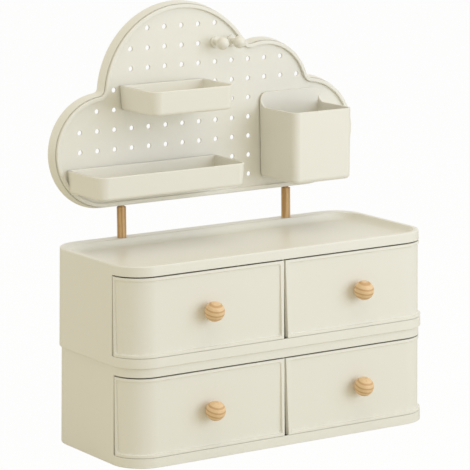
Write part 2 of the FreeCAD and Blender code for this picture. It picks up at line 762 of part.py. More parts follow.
def make_board_screws():
    """The screws that hold the panel to the frame, one solid each in one group."""
    screws = []
    for number, (across, rise) in enumerate(lug_places()):
        head = forward_cylinder(f"board_screw_head_{number}", "panel_screw_head", "panel_screw_head_thick")
        shank = forward_cylinder(f"board_screw_shank_{number}", "panel_screw_thread",
                                 "panel_screw_head_thick + frame_depth - panel_screw_sink - panel_thick")
        screw = combined("Fuse", f"board_screw_{number}", head, shank)
        bind(screw, Placement__Base__x=across, Placement__Base__z=rise)
        screws.append(screw)
    group = doc.addObject("Part::Compound", "board_screws")
    group.Label = "board_screws"
    group.Links = screws
    seat = f"{BOARD_FRONT} + frame_depth - panel_screw_sink + panel_screw_head_thick"
    return put(group, along=seat, up=BOARD_BOTTOM)


# Trays, cup and hooks

def column_place(column):
    """Formula for the distance of a column of holes from the middle."""
    return f"({column} - (hole_columns - 1) / 2) * hole_pitch"


def row_place(row):
    """Formula for the height of a row of holes, counted from the lowest, above the desk."""
    return f"{BOARD_BOTTOM} + bottom_row_rise + {row} * hole_pitch"


def outer_columns(width, centre):
    """Formulas for the first and last column of holes that lie behind a piece, clear of its edges."""
    first = f"ceil(({centre} - {width} / 2 + peg_edge) / hole_pitch + (hole_columns - 1) / 2)"
    last = f"floor(({centre} + {width} / 2 - peg_edge) / hole_pitch + (hole_columns - 1) / 2)"
    return first, last


def add_pegs(body, width, centre, drop, draft):
    """Collared pegs on the back of a hung piece, in the outer columns of holes behind it."""
    for column in outer_columns(width, centre):
        across = f"{column_place(column)} - ({centre})"
        collar = new_sketch(body, "XZ", across=across, along=drop)
        draw_circle(collar, "hanger_collar")
        pad(body, collar, f"hanger_standoff + {draft} + hung_wall / 2")
        peg = new_sketch(body, "XZ", across=across, along=drop, lift="hanger_standoff / 2")
        draw_circle(peg, "hole_diameter - peg_play")
        pad(body, peg, "hanger_standoff / 2 + peg_reach", turned=True)


def hung_outline(body, width, depth, corner, inset, level):
    """The outline of a hung bin at one level, drawn in by an inset."""
    sketch = new_sketch(body, "XY", along=f"-(hanger_standoff + {depth} / 2)", lift=level)
    draw_rounded(sketch, f"{width} - 2 * ({inset})", f"{depth} - 2 * ({inset})", f"{corner} - ({inset})")
    return sketch


def hung_block(body, width, depth, corner, draft, bottom, height):
    """The outside of a hung bin, drafted towards its foot."""
    low = hung_outline(body, width, depth, corner, draft, bottom)
    return pad(body, low, height, taper=f"atan({draft} / {height})")


def hung_room(body, width, depth, corner, draft, bottom, height):
    """The room inside a hung bin, one wall in from its outside all the way up."""
    inset = f"hung_wall + {draft} * (1 - hung_floor / {height})"
    low = hung_outline(body, width, depth, corner, inset, f"{bottom} + hung_floor")
    return pocket(body, low, f"{height} - hung_floor", taper=f"atan({draft} / {height})", turned=True)


def make_tray(label, width, centre, above_peg, row):
    """A shallow tray on two pegs."""
    body = new_body(label)
    bottom = f"{above_peg} - tray_height"
    hung_block(body, width, "tray_depth", "tray_corner", "tray_draft", bottom, "tray_height")
    round_edges(body, "tray_foot_round", level_edges(bottom))
    hung_room(body, width, "tray_depth", "tray_corner", "tray_draft", bottom, "tray_height")
    round_edges(body, "tray_foot_round - hung_wall / 2", level_edges(f"{bottom} + hung_floor"))
    add_pegs(body, width, centre, "0", "0")
    return put(body, centre, BOARD_FRONT, row_place(row))


def make_cup():
    """The pen cup: a deep bin whose sides sweep up to a tall back plate."""
    body = new_body("pen_cup")
    bottom = "cup_above_peg - cup_height"
    hung_block(body, "cup_width", "cup_depth", "cup_corner", "cup_draft", bottom, "cup_height")
    round_edges(body, "cup_foot_round", level_edges(bottom))
    hung_room(body, "cup_width", "cup_depth", "cup_corner", "cup_draft", bottom, "cup_height")
    round_edges(body, "cup_foot_round - hung_wall", level_edges(f"{bottom} + hung_floor"))

    # The mouth's cut leaves the back plate and sweeps down to the level rim with a round
    cut = new_sketch(body, "XZ", lift="hanger_standoff + hung_wall + cup_scoop_round",
                     along="cup_above_peg - cup_front_drop / 2 + overrun / 2")
    draw_rectangle(cut, "cup_width + 2 * overrun", "cup_front_drop + overrun")
    pocket(body, cut, "cup_depth", turned=True)
    sweep = new_sketch(body, "YZ", across="-(hanger_standoff + hung_wall + cup_scoop_round)",
                       along="cup_above_peg - cup_front_drop + cup_scoop_round",
                       lift="-cup_width / 2 - overrun")
    draw_circle(sweep, "2 * cup_scoop_round")
    pocket(body, sweep, "cup_width + 2 * overrun", turned=True)
    slot = new_sketch(body, "XZ", lift="hanger_standoff + hung_wall",
                      along="cup_above_peg - cup_front_drop + cup_scoop_round + cup_front_drop / 2")
    draw_rectangle(slot, "cup_width + 2 * overrun", "cup_front_drop")
    pocket(body, slot, "cup_scoop_round", turned=True)

    # The back plate's top corners are rounded by cutting outside a tall rounded rectangle
    corners = new_sketch(body, "XZ", along="cup_above_peg - cup_height")
    draw_rounded(corners, "cup_width", "2 * cup_height", "cup_plate_round")
    draw_rectangle(corners, "cup_width + 2 * overrun", "2 * cup_height + 2 * overrun")
    pocket(body, corners, "hanger_standoff + cup_depth + overrun", turned=True)
    add_pegs(body, "cup_width", "cup_centre", "0", "0")
    add_pegs(body, "cup_width", "cup_centre", "-3 * hole_pitch", "cup_draft")
    return put(body, "cup_centre", BOARD_FRONT, row_place(4))


def make_hook(label, column):
    """A peg hook: flange on the board, neck and round head, with its peg behind."""
    flange = forward_cylinder(f"{label}_flange", "hook_flange", "hook_flange_thick")
    neck = forward_cylinder(f"{label}_neck", "hook_neck", "hook_reach")
    head = doc.addObject("Part::Sphere", f"{label}_head")
    bind(head, Radius="hook_head / 2", Placement__Base__y="-hook_reach")
    peg = forward_cylinder(f"{label}_peg", "hole_diameter - peg_play", "peg_reach + hook_flange_thick / 2")
    bind(peg, Placement__Base__y="peg_reach")
    hook = doc.addObject("Part::MultiFuse", label)
    hook.Shapes = [flange, neck, head, peg]
    hook.Label = label
    return put(hook, column_place(column), BOARD_FRONT, row_place(7))


# The whole object

LOWER, UPPER = "0", TIER_PITCH

sub_parts = []
for tier, tier_level in (("lower", LOWER), ("upper", UPPER)):
    sub_parts.append(make_case(f"{tier}_case", tier_level))
    sub_parts.append(make_base_plate(f"{tier}_base_plate", tier_level))
    sub_parts.append(make_partition(f"{tier}_partition", tier_level))
    for hand, hand_sign in (("left", LEFT), ("right", RIGHT)):
        sub_parts.append(make_drawer(f"{tier}_{hand}_drawer", hand_sign, tier_level))
        sub_parts.append(make_knob(f"{tier}_{hand}_knob", hand_sign, tier_level))
        sub_parts.append(make_knob_screw(f"{tier}_{hand}_knob_screw", hand_sign, tier_level))
sub_parts.append(make_post("left_post", LEFT))
sub_parts.append(make_post("right_post", RIGHT))
sub_parts.append(make_cloud_frame())
sub_parts.append(make_panel())
sub_parts.append(make_board_screws())
for tray, tray_row in (("small_tray", 5), ("long_tray", 1)):
    sub_parts.append(make_tray(tray, f"{tray}_width", f"{tray}_centre", f"{tray}_above_peg", tray_row))
sub_parts.append(make_cup())
sub_parts.append(make_hook("left_hook", 8))
sub_parts.append(make_hook("right_hook", 9))
doc.recompute()

# Check every feature and every finished shape before anything is written
failed = [thing.Name for thing in doc.Objects if {"Invalid", "Error"} & set(thing.State)]
if failed:
    raise RuntimeError(f"failed features: {failed}")
for sub_part in sub_parts:
    if sub_part.Shape.isNull() or not sub_part.Shape.isValid():
        raise RuntimeError(f"bad shape: {sub_part.Label}")

os.makedirs("parts", exist_ok=True)
for sub_part in sub_parts:
    sub_part.Shape.exportStep(f"parts/{sub_part.Label}.step")
    box = sub_part.Shape.BoundBox
    print(f"{sub_part.Label}: {len(sub_part.Shape.Solids)} solid, volume {sub_part.Shape.Volume:.0f}, "
          f"x {box.XMin:.2f} to {box.XMax:.2f}, y {box.YMin:.2f} to {box.YMax:.2f}, "
          f"z {box.ZMin:.2f} to {box.ZMax:.2f}")
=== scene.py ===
"""A desk organizer: two stacked drawer cabinets, a cloud pegboard on two posts and what hangs on it.

Lengths in this file are millimetres unless a name says otherwise; meshes are put down in metres.
X runs to the right, Y to the back and Z up, as in the construction.
"""

import logging
import math
from dataclasses import dataclass
from enum import Enum

import bmesh
import bpy
import numpy as np
from mathutils import Matrix, Vector
from mathutils.geometry import delaunay_2d_cdt


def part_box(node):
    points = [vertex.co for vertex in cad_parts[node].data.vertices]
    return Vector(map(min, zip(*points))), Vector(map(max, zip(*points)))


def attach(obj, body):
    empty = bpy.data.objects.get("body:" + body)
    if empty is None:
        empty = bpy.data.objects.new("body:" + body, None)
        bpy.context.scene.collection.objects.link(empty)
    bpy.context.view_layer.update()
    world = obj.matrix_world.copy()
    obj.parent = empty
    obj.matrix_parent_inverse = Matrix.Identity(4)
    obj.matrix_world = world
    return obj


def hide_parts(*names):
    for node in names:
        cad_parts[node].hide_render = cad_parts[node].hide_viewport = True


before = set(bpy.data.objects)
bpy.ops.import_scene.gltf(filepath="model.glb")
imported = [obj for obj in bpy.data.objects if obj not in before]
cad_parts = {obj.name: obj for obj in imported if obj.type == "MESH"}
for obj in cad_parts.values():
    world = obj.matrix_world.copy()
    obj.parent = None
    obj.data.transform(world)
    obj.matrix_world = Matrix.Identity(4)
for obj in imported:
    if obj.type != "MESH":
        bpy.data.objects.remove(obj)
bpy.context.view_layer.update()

MM = 0.001
SHARP_ANGLE = math.radians(32)
WELD_DISTANCE = 0.002
ROUND_STEPS = 5
CORNER_STEPS = 14
TURN_STEPS = 48
BEVEL_SEGMENTS = 2
OUTLINE_CHORD = 2.4
TRIANGULATION_REACH = 1e-6
# The sRGB curve: a straight foot up to a knee, and a power above it
SRGB_KNEE, SRGB_FOOT, SRGB_OFFSET, SRGB_POWER = 0.04045, 12.92, 0.055, 2.4
# Places of the Mix node's colour sockets, whose names repeat
MIX_SHARE, MIX_FIRST, MIX_SECOND, MIXED = 0, 6, 7, 2
# A wave texture's rings lie pi over this many times its scale apart
WAVE_FACTOR = 10
# Sizes that pieces share: the cabinets' corners and draft, the posts' places, the board's front and the pegs
CASE_CORNER, CASE_DRAFT = 33.5, 2.25
POST_ACROSS = 100.0
BOARD_FACE = 72.0
PEG, CONTACT_GAP = 4.6, 0.05
log = logging.getLogger("desk_organizer")


class Slot(Enum):
    """The record's material slots."""

    CABINET = "cabinet_plastic"
    INNER = "inner_plastic"
    DRAWER = "drawer_plastic"
    BOARD = "board_plastic"
    TRAY = "tray_plastic"
    WOOD = "beech"
    STEEL = "zinc_screw"


class Hand(Enum):
    """Left and right pieces, with the sign of X on that side."""

    LEFT = -1
    RIGHT = 1


class Axis(Enum):
    """The axis that a profile turns about."""

    DEPTH = "Y"
    UPRIGHT = "Z"


# Finishes

def linear(hex_colour: str) -> tuple[float, float, float, float]:
    """Turn an sRGB hex colour into linear values.

    Args:
        hex_colour: six hex digits after a leading mark.

    Returns:
        Red, green, blue and an alpha of one.
    """
    shares = [part / 255 for part in bytes.fromhex(hex_colour[1:])]
    red, green, blue = (share / SRGB_FOOT if share <= SRGB_KNEE else
                        ((share + SRGB_OFFSET) / (1 + SRGB_OFFSET)) ** SRGB_POWER for share in shares)
    return red, green, blue, 1.0


def add_node(tree: bpy.types.NodeTree, kind: str, values: dict | None = None, links: dict | None = None,
             **settings: object) -> bpy.types.Node:
    """Add one shader node.

    Args:
        tree: the node tree that it goes into.
        kind: the node's type, without its ShaderNode beginning.
        values: numbers or colours for its inputs, by name or place.
        links: sockets that feed its inputs, by name or place.
        settings: the node's own settings.

    Returns:
        The new node.
    """
    node = tree.nodes.new(f"ShaderNode{kind}")
    for name, setting in settings.items():
        setattr(node, name, setting)
    for key, number in (values or {}).items():
        node.inputs[key].default_value = number
    for key, socket in (links or {}).items():
        tree.links.new(socket, node.inputs[key])
    return node


def new_material(name: str) -> bpy.types.Material:
    """Make a material with an empty node tree.

    Args:
        name: the finish's plain name.

    Returns:
        The material.
    """
    material = bpy.data.materials.new(name)
    material.use_nodes = True
    material.node_tree.nodes.clear()
    return material


@dataclass(frozen=True)
class MouldedPlastic:
    """Injection-moulded ABS from a finely spark-eroded mould: creamy, satin, a touch uneven in gloss."""

    name: str
    colour: str
    shade: str
    roughness: float = 0.40
    ior: float = 1.53
    cloud_size: float = 70.0
    cloud_detail: float = 2.0
    # Mould grain is about 0.1 mm in reality; it is drawn coarser, so that it shows at this scale
    grain_size: float = 0.9
    grain_detail: float = 3.0
    grain_height: float = 0.006
    gloss_change: float = 0.05

    def material(self) -> bpy.types.Material:
        """Build the plastic: faint colour clouds, uneven gloss and a fine mould grain.

        Returns:
            The finished material.
        """
        material = new_material(self.name)
        tree = material.node_tree
        place = add_node(tree, "TexCoord").outputs["Object"]
        clouds = add_node(tree, "TexNoise", links={"Vector": place},
                          values={"Scale": 1 / (self.cloud_size * MM), "Detail": self.cloud_detail})
        tint = add_node(tree, "Mix", {MIX_FIRST: linear(self.colour), MIX_SECOND: linear(self.shade)},
                        {MIX_SHARE: clouds.outputs["Fac"]}, data_type="RGBA")
        grain = add_node(tree, "TexNoise", links={"Vector": place},
                         values={"Scale": 1 / (self.grain_size * MM), "Detail": self.grain_detail})
        gloss = add_node(tree, "MapRange", {"To Min": self.roughness - self.gloss_change,
                                            "To Max": self.roughness + self.gloss_change},
                         {"Value": grain.outputs["Fac"]})
        bump = add_node(tree, "Bump", {"Strength": 1.0, "Distance": self.grain_height * MM},
                        {"Height": grain.outputs["Fac"]})
        shader = add_node(tree, "BsdfPrincipled", {"IOR": self.ior},
                          {"Base Color": tint.outputs[MIXED], "Roughness": gloss.outputs["Result"],
                           "Normal": bump.outputs["Normal"]})
        add_node(tree, "OutputMaterial", links={"Surface": shader.outputs["BSDF"]})
        return material


@dataclass(frozen=True)
class TurnedBeech:
    """Turned beech with a thin oil: warm tan, darker lines where the turning opens year rings, flecks."""

    name: str
    grain_axis: str
    # The pith line of the log, beside the piece, in the object's own place
    pith: tuple[float, float, float]
    light: str = "#E6C398"
    dark: str = "#B98554"
    fleck: str = "#A8733F"
    # Year rings of beech are 2 to 5 mm apart
    ring_spacing: float = 4.6
    ring_warp: float = 2.2
    ring_detail: float = 2.0
    warp_size_share: float = 0.35
    # From which share of a ring the late wood darkens, and how much of the dark colour it takes
    late_from: float = 0.35
    late_share: float = 0.85
    # Rays show as short flecks, about 0.3 mm wide and some millimetres long, drawn a little wider to show
    fleck_width: float = 0.4
    fleck_length: float = 5.0
    fleck_detail: float = 2.0
    fleck_from: float = 0.5
    fleck_full: float = 0.8
    fleck_share: float = 0.6
    pore_depth: float = 0.02
    roughness: float = 0.46
    smoother: float = 0.05
    rougher: float = 0.12
    ior: float = 1.5

    def material(self) -> bpy.types.Material:
        """Build the wood: warped rings about the pith line, each with a dark late-wood band, and flecks.

        Returns:
            The finished material.
        """
        material = new_material(self.name)
        tree = material.node_tree
        place = add_node(tree, "TexCoord").outputs["Object"]
        centred = add_node(tree, "Mapping", {"Location": [-part * MM for part in self.pith]},
                           {"Vector": place}).outputs["Vector"]
        rings = add_node(tree, "TexWave", {"Scale": math.pi / (WAVE_FACTOR * self.ring_spacing * MM),
                                           "Distortion": self.ring_warp, "Detail": self.ring_detail,
                                           "Detail Scale": self.warp_size_share},
                         {"Vector": centred}, wave_type="RINGS", rings_direction=self.grain_axis)
        late_wood = add_node(tree, "MapRange", {"From Min": self.late_from, "From Max": 1.0,
                                                 "To Max": self.late_share},
                             {"Value": rings.outputs["Fac"]}, interpolation_type="SMOOTHSTEP")
        across, along = 1 / (self.fleck_width * MM), 1 / (self.fleck_length * MM)
        stretch = [along if name == self.grain_axis else across for name in "XYZ"]
        stretched = add_node(tree, "Mapping", {"Scale": stretch}, {"Vector": place})
        streaks = add_node(tree, "TexNoise", {"Scale": 1.0, "Detail": self.fleck_detail},
                           {"Vector": stretched.outputs["Vector"]})
        flecks = add_node(tree, "MapRange", {"From Min": self.fleck_from, "From Max": self.fleck_full,
                                             "To Max": self.fleck_share},
                          {"Value": streaks.outputs["Fac"]})
        ringed = add_node(tree, "Mix", {MIX_FIRST: linear(self.light), MIX_SECOND: linear(self.dark)},
                          {MIX_SHARE: late_wood.outputs["Result"]}, data_type="RGBA")
        flecked = add_node(tree, "Mix", {MIX_SECOND: linear(self.fleck)},
                           {MIX_SHARE: flecks.outputs["Result"], MIX_FIRST: ringed.outputs[MIXED]},
                           data_type="RGBA")
        gloss = add_node(tree, "MapRange", {"To Min": self.roughness - self.smoother,
                                            "To Max": self.roughness + self.rougher},
                         {"Value": streaks.outputs["Fac"]})
        bump = add_node(tree, "Bump", {"Strength": 1.0, "Distance": self.pore_depth * MM},
                        {"Height": streaks.outputs["Fac"]})
        shader = add_node(tree, "BsdfPrincipled", {"IOR": self.ior},
                          {"Base Color": flecked.outputs[MIXED], "Roughness": gloss.outputs["Result"],
                           "Normal": bump.outputs["Normal"]})
        add_node(tree, "OutputMaterial", links={"Surface": shader.outputs["BSDF"]})
        return material


@dataclass(frozen=True)
class ZincSteel:
    """Rolled steel screws with a bright zinc plate: cool grey metal with a faintly mottled shine."""

    name: str
    colour: str = "#C3C6C8"
    shade: str = "#AEB1B4"
    roughness: float = 0.30
    smoother: float = 0.08
    rougher: float = 0.10
    # The plate's crystals are some hundredths of a millimetre; drawn coarser, so that they show
    mottle_size: float = 0.5
    mottle_detail: float = 2.0

    def material(self) -> bpy.types.Material:
        """Build the metal: mottled tint and uneven shine.

        Returns:
            The finished material.
        """
        material = new_material(self.name)
        tree = material.node_tree
        place = add_node(tree, "TexCoord").outputs["Object"]
        mottle = add_node(tree, "TexNoise", links={"Vector": place},
                          values={"Scale": 1 / (self.mottle_size * MM), "Detail": self.mottle_detail})
        tint = add_node(tree, "Mix", {MIX_FIRST: linear(self.colour), MIX_SECOND: linear(self.shade)},
                        {MIX_SHARE: mottle.outputs["Fac"]}, data_type="RGBA")
        gloss = add_node(tree, "MapRange", {"To Min": self.roughness - self.smoother,
                                            "To Max": self.roughness + self.rougher},
                         {"Value": mottle.outputs["Fac"]})
        shader = add_node(tree, "BsdfPrincipled", {"Metallic": 1.0},
                          {"Base Color": tint.outputs[MIXED], "Roughness": gloss.outputs["Result"]})
        add_node(tree, "OutputMaterial", links={"Surface": shader.outputs["BSDF"]})
        return material


# Outlines, profiles and surfaces

@dataclass(frozen=True)
class Outline:
    """A line in a plane, walked anticlockwise: its points and the outward direction at each."""

    points: np.ndarray
    outward: np.ndarray

    def drawn_in(self, inset: float) -> np.ndarray:
        """Move each point inwards by an inset, so arcs stay round and straight sides stay straight."""
        return self.points - inset * self.outward

    def mirrored(self) -> "Outline":
        """Swap left and right, and keep the line anticlockwise."""
        swap = np.array([-1.0, 1.0])
        return Outline((self.points * swap)[::-1], (self.outward * swap)[::-1])


def arc(centre: tuple[float, float], radius: float, start: float, end: float, steps: int,
        hollow: bool = False, closed: bool = True) -> Outline:
    """Draw an arc: the centre plus the radius times the cosine and sine of an evenly running angle.

    Args:
        centre: the arc's centre.
        radius: its radius.
        start: the angle at its start, in radians.
        end: the angle at its end.
        steps: how many straight steps it is made of.
        hollow: whether the outside is on the centre's side.
        closed: whether the end point is part of it.

    Returns:
        The arc as part of an outline.
    """
    angle = np.linspace(start, end, steps + 1)[:None if closed else -1]
    direction = np.column_stack([np.cos(angle), np.sin(angle)])
    return Outline(np.array(centre) + radius * direction, -direction if hollow else direction)


def joined(*parts: Outline) -> Outline:
    """Set parts of an outline one behind the other."""
    return Outline(np.vstack([part.points for part in parts]), np.vstack([part.outward for part in parts]))


def rounded_rectangle(width: float, depth: float, corner: float, centre: tuple[float, float],
                      steps: int = CORNER_STEPS) -> Outline:
    """Draw a rectangle with round corners, from the left side's front end on.

    Args:
        width: its size along the first axis.
        depth: its size along the second axis.
        corner: the corners' radius.
        centre: its middle.
        steps: steps in each corner.

    Returns:
        The closed outline; its first two corners are the front ones.
    """
    across, along = width / 2 - corner, depth / 2 - corner
    signs = ((-1, -1), (1, -1), (1, 1), (-1, 1))
    quarter = math.pi / 2
    return joined(*[arc((centre[0] + side * across, centre[1] + end * along), corner,
                        (number + 2) * quarter, (number + 3) * quarter, steps)
                    for number, (side, end) in enumerate(signs)])


def rounded_profile(*corners: tuple[float, float, float]) -> np.ndarray:
    """Round the corners of an open line.

    Each corner becomes an arc that touches both its sides: it starts the radius over the tangent of half the
    corner's angle away, and its centre lies on the bisector. Points on it are mixed from its two end
    directions by the sines of their shares of the turn.

    Args:
        corners: inset, height and radius of each corner; the radius is zero where it stays sharp.

    Returns:
        The rounded line's points.
    """
    pieces = []
    for before, (inset, height, radius), after in zip((None, *corners[:-1]), corners, (*corners[1:], None)):
        here = np.array([inset, height])
        if radius == 0:
            pieces.append(here[None])
            continue
        back, ahead = np.subtract(before[:2], here), np.subtract(after[:2], here)
        back, ahead = back / np.linalg.norm(back), ahead / np.linalg.norm(ahead)
        half = math.acos(np.clip(back @ ahead, -1, 1)) / 2
        turn = math.pi - 2 * half
        centre = here + (back + ahead) / np.linalg.norm(back + ahead) * radius / math.sin(half)
        first = here + back * radius / math.tan(half) - centre
        last = here + ahead * radius / math.tan(half) - centre
        share = np.linspace(0, 1, ROUND_STEPS + 1)[:, None]
        mixed = np.sin((1 - share) * turn) * first + np.sin(share * turn) * last
        pieces.append(centre + mixed / math.sin(turn))
    return np.vstack(pieces)


def carry(outline: Outline, profile: np.ndarray, axis: Axis = Axis.UPRIGHT) -> np.ndarray:
    """Carry a profile round an outline.

    A point is the outline's point less the profile's inset times the outward direction, raised by the
    profile's height along the axis.

    Args:
        outline: the outline, in the plane across the axis.
        profile: inset and height of each row.
        axis: the axis of the heights.

    Returns:
        A grid of points, one row for each profile point.
    """
    flat = outline.points[None] - profile[:, None, :1] * outline.outward[None]
    height = np.broadcast_to(profile[:, None, 1:], flat[..., :1].shape)
    grid = np.concatenate([flat, height], axis=2)
    return grid if axis is Axis.UPRIGHT else grid[..., [0, 2, 1]]


def turned(profile: np.ndarray, centre: tuple[float, float, float], axis: Axis,
           steps: int = TURN_STEPS) -> np.ndarray:
    """Turn a profile about an axis.

    A point is the centre, plus the radius times the cosine and sine of an angle that runs evenly round, plus
    the distance along the axis.

    Args:
        profile: radius and distance of each row.
        centre: a point on the axis.
        axis: the axis.
        steps: steps round.

    Returns:
        A grid of points that closes on itself in its columns.
    """
    angle = np.linspace(0, 2 * math.pi, steps, endpoint=False)
    side, rise = profile[:, :1] * np.cos(angle), profile[:, :1] * np.sin(angle)
    along = np.broadcast_to(profile[:, 1:], side.shape)
    parts = (side, rise, along) if axis is Axis.UPRIGHT else (side, along, rise)
    return np.stack(parts, axis=-1) + np.array(centre)


class Shape:
    """Patches of surface that are gathered for one mesh."""

    def __init__(self) -> None:
        """Start with nothing."""
        self.points: list[np.ndarray] = []
        self.faces: list[list[int]] = []
        self.count = 0

    def add(self, points: np.ndarray) -> np.ndarray:
        """Take in points.

        Args:
            points: an array of points of any layout.

        Returns:
            Their numbers, in the same layout.
        """
        numbers = self.count + np.arange(points[..., 0].size).reshape(points.shape[:-1])
        self.points.append(points.reshape(-1, 3))
        self.count += numbers.size
        return numbers

    def cover(self, numbers: np.ndarray, closed: bool = True, kept: np.ndarray | None = None) -> None:
        """Cover a grid of numbers with four-sided faces, one for each cell.

        Args:
            numbers: numbers of points in rows and columns, with any further axes before them.
            closed: whether the last column meets the first.
            kept: which cells get a face, or None for all.
        """
        here = numbers if closed else numbers[..., :-1]
        ahead = np.roll(numbers, -1, axis=-1) if closed else numbers[..., 1:]
        corners = [here[..., :-1, :], ahead[..., :-1, :], ahead[..., 1:, :], here[..., 1:, :]]
        faces = np.stack(corners, axis=-1)
        self.faces += (faces if kept is None else faces[kept]).reshape(-1, 4).tolist()

    def cap(self, ring: np.ndarray) -> None:
        """Close a flat ring of numbers with one face."""
        self.faces.append(ring.tolist())

    def fill(self, outer: np.ndarray, holes: list[np.ndarray], axis: Axis) -> None:
        """Cover the flat region between a ring and round holes with triangles.

        It is a constrained Delaunay triangulation. A triangle whose corners all lie on one hole's ring is
        inside that hole, because the holes bulge outwards all round, and is left out.

        Args:
            outer: numbers of the outer ring.
            holes: numbers of each hole's ring.
            axis: the axis that the region is square to.
        """
        rings = [outer, *holes]
        lengths = [len(ring) for ring in rings]
        numbers = np.concatenate(rings)
        owner = np.repeat(np.arange(len(rings)), lengths)
        starts = np.repeat(np.cumsum([0, *lengths[:-1]]), lengths)
        place = np.arange(len(numbers))
        following = starts + (place - starts + 1) % np.repeat(lengths, lengths)
        plane = [0, 1] if axis is Axis.UPRIGHT else [0, 2]
        flat = np.vstack(self.points)[numbers][:, plane]
        edges = np.column_stack([place, following]).tolist()
        found = delaunay_2d_cdt([Vector(pair) for pair in flat.tolist()], edges, [], 1, TRIANGULATION_REACH)
        source = np.array([origins[0] for origins in found[3]])
        triangles = source[np.array(found[2])]
        first, second, third = owner[triangles].T
        in_hole = (first == second) & (second == third) & (first > 0)
        self.faces += numbers[triangles[~in_hole]].tolist()

    def turn(self, profile: np.ndarray, centre: tuple[float, float, float], axis: Axis) -> None:
        """Add a turned form whose profile starts and ends on the axis, or at one and the same point."""
        self.cover(self.add(turned(profile, centre, axis)))

    def add_closed(self, points: np.ndarray) -> None:
        """Add a grid of points, cover it and close its first and last rows with flat faces.

        Args:
            points: a grid whose columns run round; its first and last rows are flat rings.
        """
        numbers = self.add(points)
        self.cover(numbers)
        self.cap(numbers[0])
        self.cap(numbers[-1])


def node_box(node: str) -> tuple[np.ndarray, np.ndarray]:
    """Give a CAD node's lowest and highest corners in millimetres."""
    low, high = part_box(node)
    return np.array(low) / MM, np.array(high) / MM


def depth_axis(node: str) -> tuple[float, float, float]:
    """Give the point at depth zero on the front-to-back line through a CAD node's middle."""
    low, high = node_box(node)
    return (low[0] + high[0]) / 2, 0.0, (low[2] + high[2]) / 2


def eased(share: np.ndarray) -> np.ndarray:
    """Ease shares to start and end level: ten cubes less fifteen fourth powers plus six fifth powers."""
    return share ** 3 * (share * (6 * share - 15) + 10)


@dataclass
class SubAssembly:
    """What every sub-assembly can do: put its shapes down as pieces and dress them."""

    def put_down(self, name: str, shape: Shape, body: str, node: str, material: bpy.types.Material,
                 slot: Slot, edge: float = 0.0) -> None:
        """Make a piece of a shape: points merged, faces outwards, flat faces kept flat to the eye.

        Args:
            name: the piece's name.
            shape: its surface.
            body: the CAD body that it rides on.
            node: the CAD node that it stands for.
            material: its finish.
            slot: the record's slot that it is.
            edge: how wide its sharp edges are broken, or zero.
        """
        mesh = bpy.data.meshes.new(name)
        mesh.from_pydata((np.vstack(shape.points) * MM).tolist(), [], shape.faces)
        work = bmesh.new()
        work.from_mesh(mesh)
        bmesh.ops.remove_doubles(work, verts=work.verts, dist=WELD_DISTANCE * MM)
        loose = [vert for vert in work.verts if not vert.link_faces]
        bmesh.ops.delete(work, geom=loose, context="VERTS")
        bmesh.ops.recalc_face_normals(work, faces=work.faces)
        work.to_mesh(mesh)
        work.free()
        mesh.shade_smooth()
        mesh.set_sharp_from_angle(angle=SHARP_ANGLE)
        piece = bpy.data.objects.new(name, mesh)
        bpy.context.scene.collection.objects.link(piece)
        if edge:
            bevel = piece.modifiers.new("broken_edges", "BEVEL")
            bevel.width = edge * MM
            bevel.segments = BEVEL_SEGMENTS
            bevel.limit_method = "ANGLE"
            bevel.angle_limit = SHARP_ANGLE
            bevel.use_clamp_overlap = False
        evened = piece.modifiers.new("even_flats", "WEIGHTED_NORMAL")
        evened.keep_sharp = True
        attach(piece, body)
        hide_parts(node)
        self.dress(piece, material, slot)
        log.info("%s: %d faces on %s", name, len(mesh.polygons), body)

    def dress(self, piece: bpy.types.Object, material: bpy.types.Material, slot: Slot) -> None:
        """Give a piece its finish.

        Args:
            piece: the piece.
            material: its finish.
            slot: its slot; not used.
        """
        piece.data.materials.clear()
        piece.data.materials.append(material)


# Cabinets

